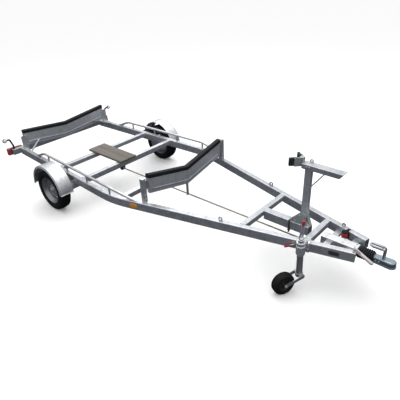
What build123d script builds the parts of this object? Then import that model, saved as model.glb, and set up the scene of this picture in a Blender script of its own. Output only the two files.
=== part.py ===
from build123d import *
import math
import os

# Boat trailer: a galvanised frame on one braked axle, with two V-shaped keel bunks, a winch stand with a bow
# stop, an overrun coupling, and a jockey wheel that holds it level while it is parked.
# Sizes are in millimetres. X runs forward from the rails' tails, Y to the left and Z up from the rails' top faces.
# At the end every piece is moved so that the wheels stand on the floor at zero, with the origin under the middle.

# Fits
RUN_FIT = 0.05            # radial clearance round a shaft that turns
SEAT_GAP = 0.3            # between curved faces that only seat on each other
SLIDE_FIT = 0.4           # radial clearance of the jockey tube in its clamp

# Side rails: box tubes, splayed from the tail to the bend, then drawn in to the nose
RAIL_W = 60
RAIL_H = 100
RAIL_CORNER_R = 8
RAIL_BEND_R = 1300
RAIL_WALL = 5
RAIL_POCKET = 60          # depth that the open front ends are hollow
TAIL_HALF = 713           # half distance between the rails' centre lines at the tail, the bend and the nose
BEND_HALF = 815
NOSE_HALF = 124
BEND_X = 2245
NOSE_X = 4826

# Road wheels and axle
TYRE_R = 274
TYRE_W = 155
TYRE_CROWN = 6            # fall of the tread from its middle to its edge
TYRE_SHOULDER = 18        # tread edge inside the tyre's flank
RIM_SEAT_R = 165
RIM_HALF = 60
RIM_WALL = 8
RIM_LIP = 11
RIM_LIP_T = 6
RIM_LIP_GAP = 3           # between the rim's lip and the tyre's flank
DISC_Y = 6                # inner face of the wheel disc, from the wheel's centre plane
DISC_T = 10
DISC_HOLES = 8
DISC_HOLE_R = 14
HUB_R = 58
HUB_CAP_R = 33
HUB_CAP_H = 34
HUB_CAP_FLARE = 6
SPINDLE_END_GAP = 4
DRUM_R = 104
DRUM_IN = 110             # inner face of the drum, inboard of the wheel's centre plane
DRUM_DEPTH = 70
WHEEL_X = 1195
WHEEL_DROP = 194          # spindle under the rails' tops
WHEEL_OUT = 170           # wheel's centre plane from the rail's outer face
SPINDLE_R = 16
SWING_REACH = 205         # axle tube ahead of the spindle
SWING_AXLE_R = 46
SWING_HUB_R = 34
AXLE_SIZE = 72
AXLE_CORNER_R = 10
AXLE_PLATE_T = 8
AXLE_PLATE_LEN = 190
BACKPLATE_R = 108
BACKPLATE_T = 5
BACKPLATE_GAP = 6

# Mudguards
GUARD_GAP = 44            # arch radius beyond the tyre's
GUARD_UP = 30             # arch centre over the spindle
GUARD_T = 3
GUARD_W = 185
GUARD_LIP = 16
GUARD_OVER = 17           # beyond the tyre's outer face
STAY_W = 30
STAY_T = 6
STAY_IN = 32              # stays inside the arch's ends

# Overrun housing and coupling
HOUSING_BACK = 26         # housing's front face behind the rails' noses
HOUSING_LEN = 353
HOUSING_DROP = 24         # housing's top under the rails' tops
HOUSING_H = 96
HOUSING_W = 96
HOUSING_WALL = 7
HOUSING_CORNER_R = 10
LEVER_W = 30
LEVER_T = 10
LEVER_AHEAD = 43          # brake lever under the housing, from the housing's rear
SADDLE_AHEADS = (53, 253)
SADDLE_LEN = 60
SADDLE_T = 30
DRAW_R = 25
DRAW_IN = 200             # draw tube's length inside the housing
DRAW_GRIP = 60            # and inside the coupling head
BELLOWS_LEN = 150
BELLOWS_R = 58
BELLOWS_ROOT_R = 46
BELLOWS_FOLDS = 7
HEAD_LEN = 148            # from the head's rear face to the ball's centre
HEAD_R = 44
HEAD_REAR_HALF = 34
HEAD_REAR_LEN = 12
HEAD_UP = 30              # over and under the draw tube's axis
HEAD_DOWN = 31
HEAD_ROUND = 16
HEAD_FLANGE = 5
HEAD_FLANGE_H = 10
BALL_R = 25.2
BALL_DOWN = 7
HANDLE_R = 9
HANDLE_HALF = 20
HANDLE_BACK = 68          # handle's feet behind the ball's centre
HANDLE_LEN = 130
HANDLE_UP = 97
HANDLE_BEND_R = 18
HANDBRAKE_BACK = 14       # lever's pivot behind the rails' noses
HANDBRAKE_UP = 28
HANDBRAKE_REACH = 160
HANDBRAKE_FALL = 78
HANDBRAKE_R = 15
HANDBRAKE_T = 14

# Cross-members between the rails, each placed by its front face
CROSS_W = 60
CROSS_H = 60
CROSS_CORNER_R = 6
CROSS_REAR_BACK = 104     # behind the spindle
CROSS_PLANK_AHEAD = 221   # ahead of the axle tube
CROSS_MIDDLE_AHEAD = 122  # ahead of the rails' bend
CROSS_BOW_BACK = 1035     # behind the rails' noses
CROSS_NOSE_GAP = 32       # behind the overrun housing

# Light bar across the tails, with its lamps
BAR_DEPTH = 60
BAR_H = 84
BAR_OVER = 137            # beyond the rails' centre lines
LAMP_W = 220
LAMP_H = 100
LAMP_DEPTH = 55
LAMP_ROUND = 11
LAMP_OVERHANG = 55
MARKER_ARM_R = 13
MARKER_R = 30
MARKER_LEN = 56
MARKER_ROUND = 7
MARKER_OUT = 76           # drum centre beyond the bar's end
MARKER_UP = 152           # drum centre over the bar
MARKER_KNEE_UP = 53
MARKER_KNEE_OUT = 30

# Keel bunks: V beams with rubber on top
BUNK_T = 50
BUNK_H = 182
BUNK_LIP_H = 50           # set-back fold along the lower edge
BUNK_LIP_IN = 6
RUBBER_W = 58
RUBBER_H = 46
REAR_BUNK_X = 98
REAR_BUNK_IN = 23         # ends inboard of the rails' centre lines
REAR_BUNK_UP = 205        # middle of the V over the rails
REAR_BUNK_RISE = 74       # ends over the middle
FRONT_BUNK_AHEAD = 405    # ahead of the rails' bend
FRONT_BUNK_UP = 180
FRONT_BUNK_RISE = 138
BRACKET_T = 6
BRACKET_LAP = 40          # over the bunk's end
BRACKET_UNDER = 33        # top under the rubber
BRACKET_FOOT = 75
STRUT_W = 25
STRUT_T = 8
STRUT_AHEAD = 172         # foot ahead of the bunk
STRUT_TOP_IN = 240        # top inboard of the bunk's end
STRUT_TOP_UP = 64         # and over its lower edge
POST_W = 50
POST_CORNER_R = 5
POST_UNDER = 33           # top under the front bunk's ends
POST_INSET = 30           # post centre inboard of the rail's centre line
POST_CLEAR = 40           # between post and bunk
POST_TAB_LAP = 35         # over the bunk's end
POST_TAB_H = 100
POST_TAB_DROP = 60

# Raised guide tubes on the rails
TUBE_R = 17
TUBE_RISE = 88            # tube centre over the rail
TUBE_REAR_X = 450         # rear foot
TUBE_RISE_LEN = 250
TUBE_REAR_BEND_R = 300
TUBE_FRONT_BEND_R = 500
TUBE_FRONT_GAP = 50       # front foot behind the front bunk's middle
TUBE_POST_R = 11
TUBE_POST_SHARES = (0.065, 0.37, 0.66, 0.965)    # posts along the level run

# Plank on the cross-members
PLANK_LEN = 700
PLANK_W = 268
PLANK_T = 28
PLANK_BACK = 26           # middle behind the two members' middle
PLANK_RIGHT = 70          # middle to the right of the centre line

# Brake rod, its equaliser and its hanger
ROD_R = 8
ROD_REAR_DROP = 213       # under the rails' tops
ROD_FRONT_DROP = 184
EQUALISER_LEN = 44
EQUALISER_W = 60
EQUALISER_UNDER = 20      # under the rod
HANGER_W = 30
HANGER_T = 12
HANGER_EYE_R = 20

# Winch stand
BEAM_HALF = 41
BEAM_CORNER_R = 6
BEAM_END_GAP = 49         # beam's front end behind the nose cross-member
BEAM_WALL = 5
BEAM_POCKET = 120
STAND_H = 657
STAND_BACK = 72           # post's middle behind the beam's front end
STAND_W = 60
STAND_CORNER_R = 6
GUSSET_T = 6
GUSSET_H = 130
GUSSET_REAR = 120
STRAP_REACH = 50
STRAP_W = 40
STRAP_H = 34              # measured straight down
ARM_H = 48
ARM_WALL = 5
ARM_SIDE_GAP = 8.5        # between post and arm wall
ARM_CORNER_R = 4
ARM_BACK = 60             # arm's rear end behind the post's middle
ARM_LEN = 404
ARM_CUT = 32              # lower front corner cut back
EAR_R = 18
EAR_UP = 12
EAR_HOLE_R = 7
BRACE_R = 6
BRACE_DROP = 240          # under the arm's top
BRACE_REACH = 170
YOKE_DEPTH = 40
YOKE_UP = 46              # over and under the arm's top
YOKE_DOWN = 42
YOKE_T = 8
YOKE_LEN = 62
YOKE_ANGLE = 45
PAD_T = 26
PAD_LEN = 88
PAD_START = 22
PAD_MARGIN = 3            # pads end this far inside the plates' height
PAD_ROUND = 5

# Fittings on the rails
LUG_BACK = 1276           # behind the rails' noses
LUG_R = 24
LUG_T = 10
LUG_HOLE_R = 12
LUG_UP = 26
EYE_BACK = 266
EYE_R = 14
EYE_BAR_R = 4
REFLECTOR_AHEAD = 295     # ahead of the rails' bend
REFLECTOR_LEN = 90
REFLECTOR_H = 42
REFLECTOR_T = 8
PLUG_BACK = 206
PLUG_R = 26
PLUG_LEN = 105
PLUG_PLATE_T = 6
PLUG_PLATE_W = 60
PLUG_LET_IN = 1           # plug sunk into its holder

# Jockey wheel on the right rail
JOCKEY_BACK = 441         # tube axis behind the rails' noses, at the clamp's middle
JOCKEY_DOWN = 23          # clamp's middle under the rails' tops
JOCKEY_OUT = 100          # tube axis from the rail's outer face
JOCKEY_TURN = 65          # degrees, castor turned so that the wheel trails out from under the rail
JOCKEY_LEAN = 2           # degrees, top towards the trailing wheel
JOCKEY_TUBE_R = 30
JOCKEY_TUBE_DOWN = 270
JOCKEY_TUBE_UP = 118
CLAMP_R = 43
CLAMP_H = 70
CLAMP_PLATE_LEN = 120
CLAMP_PLATE_T = 10
CLAMP_ARM_W = 50
CLAMP_LEVER_R = 6
CLAMP_GRIP_R = 10
CLAMP_GRIP_LEN = 62
CRANK_CAP_R = 24
CRANK_CAP_H = 22
CRANK_W = 34
CRANK_T = 8
CRANK_H = 130
KNOB_R = 17
KNOB_H = 46
KING_PIN_R = 12
KING_PIN_LEN = 40
CROWN_R = 36
CROWN_H = 30
CROWN_GAP = 0.3
FORK_W = 46
FORK_T = 8
FORK_SIDE_GAP = 6
FORK_HUB_R = 17
JOCKEY_TRAIL = 178        # wheel axle behind the tube's axis
JOCKEY_R = 113
JOCKEY_W = 84
JOCKEY_SHOULDER = 16
JOCKEY_BEAD = 14
JOCKEY_HUB_R = 62
JOCKEY_HUB_W = 74
JOCKEY_PIN_R = 8

SIDES = (("left", 1), ("right", -1))
pieces = {}


def rail_half(x):
    """Half distance between the rails' straight centre lines at x."""
    if x < BEND_X:
        return TAIL_HALF + (BEND_HALF - TAIL_HALF) * x / BEND_X
    return BEND_HALF + (NOSE_HALF - BEND_HALF) * (x - BEND_X) / (NOSE_X - BEND_X)


# Places that follow from the sizes above
wheel_half = rail_half(WHEEL_X) + RAIL_W / 2 + WHEEL_OUT
axle_x = WHEEL_X + SWING_REACH
housing_front_x = NOSE_X - HOUSING_BACK
housing_rear_x = housing_front_x - HOUSING_LEN
cross_rear_x = WHEEL_X - CROSS_REAR_BACK
cross_plank_x = axle_x + CROSS_PLANK_AHEAD
cross_middle_x = BEND_X + CROSS_MIDDLE_AHEAD
cross_bow_x = NOSE_X - CROSS_BOW_BACK
cross_nose_x = housing_rear_x - CROSS_NOSE_GAP
beam_front_x = cross_nose_x - CROSS_W - BEAM_END_GAP
stand_x = beam_front_x - STAND_BACK
arm_rear_x = stand_x - ARM_BACK
arm_front_x = arm_rear_x + ARM_LEN
arm_w = STAND_W + 2 * (ARM_SIDE_GAP + ARM_WALL)
front_bunk_x = BEND_X + FRONT_BUNK_AHEAD
rear_bunk_half = rail_half(REAR_BUNK_X) - REAR_BUNK_IN
post_half = rail_half(front_bunk_x) - POST_INSET
front_bunk_half = post_half - POST_W / 2 - POST_CLEAR
nose_taper = math.atan2(BEND_HALF - NOSE_HALF, NOSE_X - BEND_X)
rail_face = RAIL_W / 2 / math.cos(nose_taper)    # from centre line to side face, across the trailer


def rail_section(at, way, corner_r):
    """Outline of a rail, square to its way."""
    with BuildSketch(Plane(at, x_dir=(0, 0, 1), z_dir=way)) as section:
        Rectangle(RAIL_H, RAIL_W)
        if corner_r:
            fillet(section.vertices(), corner_r)
    return section.sketch


def rail_bar(side, corner_r):
    """Bar along one rail's line: straight, bent on an arc and straight again, cut square across the tail."""
    tail = Vector(-RAIL_W, side * rail_half(-RAIL_W), -RAIL_H / 2)
    bend = Vector(BEND_X, side * BEND_HALF, tail.Z)
    nose = Vector(NOSE_X, side * NOSE_HALF, tail.Z)
    rear_way = (bend - tail).normalized()
    front_way = (nose - bend).normalized()
    turn = rear_way.get_angle(front_way)
    tangent = RAIL_BEND_R * math.tan(math.radians(turn / 2))
    arc_start = bend - rear_way * tangent
    arc_end = bend + front_way * tangent
    arc_middle = arc_start + rear_way.cross(Vector(0, 0, side)) * RAIL_BEND_R
    with BuildPart() as bar:
        extrude(rail_section(tail, rear_way, corner_r), amount=(arc_start - tail).length)
        revolve(rail_section(arc_start, rear_way, corner_r), Axis(arc_middle, (0, 0, -side)), turn)
        extrude(rail_section(arc_end, front_way, corner_r), amount=(nose - arc_end).length)
        split(bisect_by=Plane.YZ, keep=Keep.TOP)
    return bar.part


def round_bar(points, bends, bar_r):
    """Round bar along points, bent to the given radii at its corners."""
    first = Vector(*points[0])
    with BuildPart() as bar:
        with BuildLine():
            FilletPolyline(*points, radius=bends)
        with BuildSketch(Plane(first, z_dir=Vector(*points[1]) - first)):
            Circle(bar_r)
        sweep()
    return bar.part


def straight_bar(start, end, bar_r):
    """Round bar from start to end."""
    run = Vector(*end) - Vector(*start)
    with BuildPart() as bar:
        with BuildSketch(Plane(Vector(*start), z_dir=run)):
            Circle(bar_r)
        extrude(amount=run.length)
    return bar.part


def block(lows, highs):
    """Box between two corners."""
    size = [high - low for low, high in zip(lows, highs)]
    middle = [(high + low) / 2 for low, high in zip(lows, highs)]
    with BuildPart() as box:
        with Locations(tuple(middle)):
            Box(*size)
    return box.part


def box_tube(lows, highs, along, corner_r):
    """Box between two corners, with its four edges along one axis rounded."""
    with BuildPart() as tube:
        add(block(lows, highs))
        fillet(tube.edges().filter_by(along), corner_r)
    return tube.part


# Side rails with rounded corners, and their square outlines for what is let in against them
for name, side in SIDES:
    nose = Vector(NOSE_X, side * NOSE_HALF, -RAIL_H / 2)
    with BuildPart() as rail:
        add(rail_bar(side, RAIL_CORNER_R))
        with BuildSketch(Plane(nose, x_dir=(0, 0, 1), z_dir=nose - Vector(BEND_X, side * BEND_HALF, nose.Z))):
            Rectangle(RAIL_H - 2 * RAIL_WALL, RAIL_W - 2 * RAIL_WALL)
        extrude(amount=-RAIL_POCKET, mode=Mode.SUBTRACT)
    pieces[f"{name}_rail"] = rail.part
rail_outlines = [rail_bar(side, 0) for name, side in SIDES]

# Raised guide tubes: bent round tubes that rise from the rails on short posts
for name, side in SIDES:
    rise_x = TUBE_REAR_X + TUBE_RISE_LEN
    front_x = front_bunk_x - TUBE_FRONT_GAP
    route = (
        (TUBE_REAR_X, side * rail_half(TUBE_REAR_X), -TUBE_R),
        (rise_x, side * rail_half(rise_x), TUBE_RISE),
        (BEND_X, side * BEND_HALF, TUBE_RISE),
        (front_x, side * rail_half(front_x), -TUBE_R),
    )
    with BuildPart() as raised_tube:
        add(round_bar(route, (TUBE_REAR_BEND_R, TUBE_FRONT_BEND_R), TUBE_R))
        for share in TUBE_POST_SHARES:
            post_x = rise_x + (BEND_X - rise_x) * share
            post_y = side * rail_half(post_x)
            add(straight_bar((post_x, post_y, -TUBE_R), (post_x, post_y, TUBE_RISE), TUBE_POST_R))
        split(bisect_by=Plane.XY, keep=Keep.TOP)
    pieces[f"{name}_raised_tube"] = raised_tube.part

# Cross-members: box tubes let in between the rails, flush with their tops
CROSS_TABLE = (
    ("cross_member_rear", cross_rear_x),
    ("cross_member_plank", cross_plank_x),
    ("cross_member_middle", cross_middle_x),
    ("cross_member_bow", cross_bow_x),
    ("cross_member_nose", cross_nose_x),
)
for name, front_x in CROSS_TABLE:
    half = rail_half(front_x - CROSS_W / 2)
    with BuildPart() as cross_member:
        add(box_tube((front_x - CROSS_W, -half, -CROSS_H), (front_x, half, 0), Axis.Y, CROSS_CORNER_R))
        for outline in rail_outlines:
            add(outline, mode=Mode.SUBTRACT)
    pieces[name] = cross_member.part

# Light bar: the rearmost member, across both tails and out to the lamps
bar_half = TAIL_HALF + BAR_OVER
pieces["light_bar"] = box_tube((-BAR_DEPTH, -bar_half, -BAR_H), (0, bar_half, 0), Axis.Y, CROSS_CORNER_R)

# Tail lamps on the bar's rear face, and width markers on rubber arms at its ends
for name, side in SIDES:
    lamp_y = side * (bar_half + LAMP_OVERHANG - LAMP_W / 2)
    with BuildPart() as tail_lamp:
        with Locations((-BAR_DEPTH - LAMP_DEPTH / 2, lamp_y, -BAR_H / 2)):
            Box(LAMP_DEPTH, LAMP_W, LAMP_H)
        fillet(tail_lamp.faces().sort_by(Axis.X)[0].edges(), LAMP_ROUND)
    pieces[f"{name}_tail_lamp"] = tail_lamp.part

    marker_x = -BAR_DEPTH / 2
    foot_y = bar_half - 2 * MARKER_ARM_R
    drum_y = bar_half + MARKER_OUT
    seat_y = drum_y - MARKER_R - SEAT_GAP
    arm_route = (
        (marker_x, side * foot_y, 0),
        (marker_x, side * foot_y, MARKER_KNEE_UP),
        (marker_x, side * (foot_y + MARKER_KNEE_OUT), MARKER_UP),
        (marker_x, side * seat_y, MARKER_UP),
    )
    arm_bends = (3 * MARKER_ARM_R, 2 * MARKER_ARM_R)
    pieces[f"{name}_marker_arm"] = round_bar(arm_route, arm_bends, MARKER_ARM_R)
    with BuildPart() as marker_lamp:
        with BuildSketch(Plane((marker_x - MARKER_LEN / 2, side * drum_y, MARKER_UP), z_dir=(1, 0, 0))):
            Circle(MARKER_R)
        extrude(amount=MARKER_LEN)
        fillet(marker_lamp.edges().filter_by(GeomType.CIRCLE), MARKER_ROUND)
    pieces[f"{name}_marker_lamp"] = marker_lamp.part

# Axle: square torsion tube under the rails, with a mounting plate against each rail
axle_half = rail_half(axle_x) + RAIL_W / 2 + AXLE_PLATE_T
axle_top = -RAIL_H - AXLE_PLATE_T
with BuildPart() as axle_tube:
    add(box_tube((axle_x - AXLE_SIZE / 2, -axle_half, axle_top - AXLE_SIZE),
                 (axle_x + AXLE_SIZE / 2, axle_half, axle_top), Axis.Y, AXLE_CORNER_R))
    for name, side in SIDES:
        with Locations((axle_x, side * rail_half(axle_x), axle_top + AXLE_PLATE_T / 2)):
            Box(AXLE_PLATE_LEN, RAIL_W, AXLE_PLATE_T)
pieces["axle_tube"] = axle_tube.part

# Swing arms: trailing arms outside the rails, with the brake back plate and the wheel spindle
back_in = wheel_half - DRUM_IN - BACKPLATE_T - BACKPLATE_GAP
for name, side in SIDES:
    arm_plane = Plane((0, side * axle_half, 0), x_dir=(1, 0, 0), z_dir=(0, side, 0))
    axle_at = arm_plane.to_local_coords(Vector(axle_x, side * axle_half, axle_top - AXLE_SIZE / 2))
    hub_at = arm_plane.to_local_coords(Vector(WHEEL_X, side * axle_half, -WHEEL_DROP))
    with BuildPart() as swing_arm:
        with BuildSketch(arm_plane):
            with Locations(axle_at):
                Circle(SWING_AXLE_R)
            with Locations(hub_at):
                Circle(SWING_HUB_R)
            make_hull()
        extrude(amount=back_in - axle_half)
        with BuildSketch(arm_plane.offset(back_in - axle_half)):
            with Locations(hub_at):
                Circle(BACKPLATE_R)
        extrude(amount=BACKPLATE_T)
        with BuildSketch(arm_plane.offset(back_in - axle_half)):
            with Locations(hub_at):
                Circle(SPINDLE_R)
        extrude(amount=wheel_half + DISC_Y + DISC_T - back_in)
    pieces[f"{name}_swing_arm"] = swing_arm.part

# Road wheels: tyre and steel wheel with its brake drum, as turned sections about the spindle
for name, side in SIDES:
    hub_at = Vector(WHEEL_X, side * wheel_half, -WHEEL_DROP)
    section = Plane(hub_at, x_dir=(1, 0, 0), z_dir=(0, 0, side))
    spin = Axis(hub_at, (0, 1, 0))
    tyre_half = TYRE_W / 2
    tread_half = tyre_half - TYRE_SHOULDER
    tread_r = TYRE_R - TYRE_CROWN
    bead_r = RIM_SEAT_R + SEAT_GAP
    bead_half = RIM_HALF - SEAT_GAP
    flank_r = RIM_SEAT_R + RIM_LIP + RIM_LIP_GAP
    belly_r = (flank_r + tread_r) / 2
    tyre_outline = (
        (bead_r, bead_half), (bead_r, -bead_half), (flank_r, -bead_half), (belly_r, -tyre_half),
        (tread_r, -tread_half), (TYRE_R, -tread_half / 2), (TYRE_R, tread_half / 2), (tread_r, tread_half),
        (belly_r, tyre_half), (flank_r, bead_half),
    )
    with BuildPart() as tyre:
        with BuildSketch(section):
            with BuildLine():
                Polyline(*tyre_outline, close=True)
            make_face()
        revolve(axis=spin)
    pieces[f"{name}_tyre"] = tyre.part

    bore_r = SPINDLE_R + RUN_FIT
    lip_r = RIM_SEAT_R + RIM_LIP
    well_r = RIM_SEAT_R - RIM_WALL
    edge = RIM_HALF + RIM_LIP_T
    disc_out = DISC_Y + DISC_T
    drum_out = DRUM_DEPTH - DRUM_IN
    cap_y = disc_out + HUB_CAP_H
    bore_y = disc_out + SPINDLE_END_GAP
    wheel_outline = (
        (bore_r, -DRUM_IN), (DRUM_R, -DRUM_IN), (DRUM_R, drum_out), (HUB_R, drum_out), (HUB_R, DISC_Y),
        (well_r, DISC_Y), (well_r, -edge), (lip_r, -edge), (lip_r, -RIM_HALF), (RIM_SEAT_R, -RIM_HALF),
        (RIM_SEAT_R, RIM_HALF), (lip_r, RIM_HALF), (lip_r, edge), (well_r, edge), (well_r, disc_out),
        (HUB_CAP_R + HUB_CAP_FLARE, disc_out), (HUB_CAP_R, cap_y), (0, cap_y), (0, bore_y), (bore_r, bore_y),
    )
    with BuildPart() as wheel:
        with BuildSketch(section):
            with BuildLine():
                Polyline(*wheel_outline, close=True)
            make_face()
        revolve(axis=spin)
        disc_at = hub_at + Vector(0, side * DISC_Y, 0)
        with BuildSketch(Plane(disc_at, x_dir=(1, 0, 0), z_dir=(0, side, 0))):
            with PolarLocations((HUB_R + well_r) / 2, DISC_HOLES):
                Circle(DISC_HOLE_R)
        extrude(amount=DISC_T, mode=Mode.SUBTRACT)
    pieces[f"{name}_wheel"] = wheel.part

# Mudguards: half-round sheet arches with a lip on the outer edge, on two stays from the rail
guard_r = TYRE_R + GUARD_GAP
guard_out = wheel_half + TYRE_W / 2 + GUARD_OVER
arch_z = GUARD_UP - WHEEL_DROP
stay_dx = guard_r - STAY_IN
stay_z = arch_z + math.sqrt((guard_r - GUARD_T) ** 2 - stay_dx ** 2) - STAY_W / 2
for name, side in SIDES:
    with BuildPart() as mudguard:
        for wall, width in ((GUARD_T, GUARD_W), (GUARD_LIP, GUARD_T)):
            with BuildSketch(Plane((WHEEL_X, side * guard_out, arch_z), x_dir=(1, 0, 0), z_dir=(0, -1, 0))):
                Circle(guard_r)
                Circle(guard_r - wall, mode=Mode.SUBTRACT)
                Rectangle(2 * guard_r, guard_r, align=(Align.CENTER, Align.MAX), mode=Mode.SUBTRACT)
            extrude(amount=side * width)
        for end in (-1, 1):
            stay_x = WHEEL_X + end * stay_dx
            with Locations((stay_x, side * (rail_half(stay_x) + guard_out) / 2, stay_z)):
                Box(STAY_T, guard_out - rail_half(stay_x), STAY_W)
        for outline in rail_outlines:
            add(outline, mode=Mode.SUBTRACT)
    pieces[f"{name}_mudguard"] = mudguard.part


def vee_points(half, mid_z, end_z, near, far):
    """Outline of a V band: near and far are distances under the bunk's upper line, square to it."""
    slope = math.atan2(end_z - mid_z, half)
    corners = []
    for depth, ways in ((near, (-1, 0, 1)), (far, (1, 0, -1))):
        for way in ways:
            upper_z = end_z if way else mid_z
            corners.append((way * half, upper_z - depth / math.cos(slope)))
    return corners


# Keel bunks: folded V beams with a rubber strip along the top
BUNK_TABLE = (
    ("rear_bunk", REAR_BUNK_X, rear_bunk_half, REAR_BUNK_UP, REAR_BUNK_UP + REAR_BUNK_RISE),
    ("front_bunk", front_bunk_x, front_bunk_half, FRONT_BUNK_UP, FRONT_BUNK_UP + FRONT_BUNK_RISE),
)
fold = RUBBER_H + BUNK_H - BUNK_LIP_H
BAND_TABLE = (
    (RUBBER_H, fold, BUNK_T),
    (fold, RUBBER_H + BUNK_H, BUNK_T - 2 * BUNK_LIP_IN),
)
for name, x, half, mid_z, end_z in BUNK_TABLE:
    with BuildPart() as bunk:
        for near, far, thick in BAND_TABLE:
            with BuildSketch(Plane((x - thick / 2, 0, 0), x_dir=(0, 1, 0), z_dir=(1, 0, 0))):
                with BuildLine():
                    Polyline(*vee_points(half, mid_z, end_z, near, far), close=True)
                make_face()
            extrude(amount=thick)
    pieces[name] = bunk.part
    with BuildPart() as rubber:
        with BuildSketch(Plane((x - RUBBER_W / 2, 0, 0), x_dir=(0, 1, 0), z_dir=(1, 0, 0))):
            with BuildLine():
                Polyline(*vee_points(half, mid_z, end_z, 0, RUBBER_H), close=True)
            make_face()
        extrude(amount=RUBBER_W)
    pieces[f"{name}_rubber"] = rubber.part

# Rear bunk's end brackets, and flat struts from the rails to its lower face
bunk_face = REAR_BUNK_X + BUNK_T / 2
bracket_top = REAR_BUNK_UP + REAR_BUNK_RISE - RUBBER_H - BRACKET_UNDER
strut_half = rear_bunk_half - STRUT_TOP_IN
strut_line_z = REAR_BUNK_UP + REAR_BUNK_RISE * strut_half / rear_bunk_half
strut_x = REAR_BUNK_X + STRUT_AHEAD
with BuildPart() as rear_bunk_brackets:
    for name, side in SIDES:
        inner = side * (rear_bunk_half - BRACKET_LAP)
        outer = side * (rail_half(bunk_face) + RAIL_W / 2)
        low_y, high_y = sorted((inner, outer))
        add(block((bunk_face, low_y, 0), (bunk_face + BRACKET_T, high_y, bracket_top)))
        foot_y = side * (rail_half(bunk_face) - RAIL_W / 2)
        low_y, high_y = sorted((foot_y, outer))
        add(block((bunk_face, low_y, 0), (bunk_face + BRACKET_FOOT, high_y, BRACKET_T)))
        foot = Vector(strut_x, side * (rail_half(strut_x) - RAIL_W / 4), 0)
        top = Vector(REAR_BUNK_X, side * strut_half, strut_line_z - RUBBER_H - BUNK_H + STRUT_TOP_UP)
        run = (top - foot).normalized()
        spare = 2 * STRUT_W
        with BuildSketch(Plane(foot - run * spare, x_dir=run.cross(Vector(0, 0, 1)), z_dir=run)):
            Rectangle(STRUT_W, STRUT_T)
        extrude(amount=(top - foot).length + spare)
    add(pieces["rear_bunk"], mode=Mode.SUBTRACT)
    split(bisect_by=Plane.XY, keep=Keep.TOP)
    split(bisect_by=Plane.YZ.offset(bunk_face), keep=Keep.TOP)
pieces["rear_bunk_brackets"] = rear_bunk_brackets.part

# Front bunk's posts on the rails, each with a tab behind the bunk
tab_front = front_bunk_x - BUNK_T / 2
post_top = FRONT_BUNK_UP + FRONT_BUNK_RISE - POST_UNDER
post_rear = tab_front - BRACKET_T
with BuildPart() as front_bunk_posts:
    for name, side in SIDES:
        post_y = side * post_half
        add(box_tube((post_rear, post_y - POST_W / 2, 0), (post_rear + POST_W, post_y + POST_W / 2, post_top),
                     Axis.Z, POST_CORNER_R))
        low_y, high_y = sorted((side * (front_bunk_half - POST_TAB_LAP), post_y))
        tab_top = post_top - POST_TAB_DROP
        add(block((post_rear, low_y, tab_top - POST_TAB_H), (tab_front, high_y, tab_top)))
pieces["front_bunk_posts"] = front_bunk_posts.part

# Plank laid on the two cross-members over the axle
plank_x = (cross_rear_x + cross_plank_x - CROSS_W) / 2 - PLANK_BACK
pieces["plank"] = block((plank_x - PLANK_LEN / 2, -PLANK_RIGHT - PLANK_W / 2, 0),
                        (plank_x + PLANK_LEN / 2, -PLANK_RIGHT + PLANK_W / 2, PLANK_T))

# Brake rod on the centre line, from the equaliser under the axle to the lever under the overrun housing
lever_x = housing_rear_x + LEVER_AHEAD
rod_rear_x = axle_x + EQUALISER_LEN / 2
rod_slope = (ROD_REAR_DROP - ROD_FRONT_DROP) / (lever_x - rod_rear_x)


def rod_at(x):
    """Point of the brake rod's centre line at x."""
    return (x, 0, rod_slope * (x - rod_rear_x) - ROD_REAR_DROP)


with BuildPart() as brake_rod:
    add(straight_bar(rod_at(rod_rear_x - ROD_R), rod_at(lever_x + ROD_R), ROD_R))
    split(bisect_by=Plane.YZ.offset(rod_rear_x), keep=Keep.TOP)
    split(bisect_by=Plane.YZ.offset(lever_x), keep=Keep.BOTTOM)
pieces["brake_rod"] = brake_rod.part
pieces["equaliser"] = block((axle_x - EQUALISER_LEN / 2, -EQUALISER_W / 2, -ROD_REAR_DROP - EQUALISER_UNDER),
                            (rod_rear_x, EQUALISER_W / 2, axle_top - AXLE_SIZE))

# Hanger: flat bar under the front bunk with an eye round the rod
front_slope = math.atan2(FRONT_BUNK_RISE, front_bunk_half)
hanger_top = FRONT_BUNK_UP - (RUBBER_H + BUNK_H) / math.cos(front_slope)
hanger_rear = front_bunk_x - HANGER_T / 2
eye_at = Vector(hanger_rear, 0, rod_at(front_bunk_x)[2])
with BuildPart() as rod_hanger:
    add(block((hanger_rear, -HANGER_W / 2, eye_at.Z), (hanger_rear + HANGER_T, HANGER_W / 2, hanger_top + HANGER_W)))
    with BuildSketch(Plane(eye_at, z_dir=(1, 0, 0))):
        Circle(HANGER_EYE_R)
    extrude(amount=HANGER_T)
    with BuildSketch(Plane(eye_at, z_dir=(1, 0, 0))):
        Circle(ROD_R + SEAT_GAP)
    extrude(amount=HANGER_T, mode=Mode.SUBTRACT)
    add(pieces["front_bunk"], mode=Mode.SUBTRACT)
pieces["rod_hanger"] = rod_hanger.part

# Centre beam: box tube forward from the bow cross-member, open at its front end
with BuildPart() as centre_beam:
    add(box_tube((cross_bow_x, -BEAM_HALF, -RAIL_H), (beam_front_x, BEAM_HALF, 0), Axis.X, BEAM_CORNER_R))
    add(block((beam_front_x - BEAM_POCKET, BEAM_WALL - BEAM_HALF, BEAM_WALL - RAIL_H),
              (beam_front_x, BEAM_HALF - BEAM_WALL, -BEAM_WALL)), mode=Mode.SUBTRACT)
pieces["centre_beam"] = centre_beam.part

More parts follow.
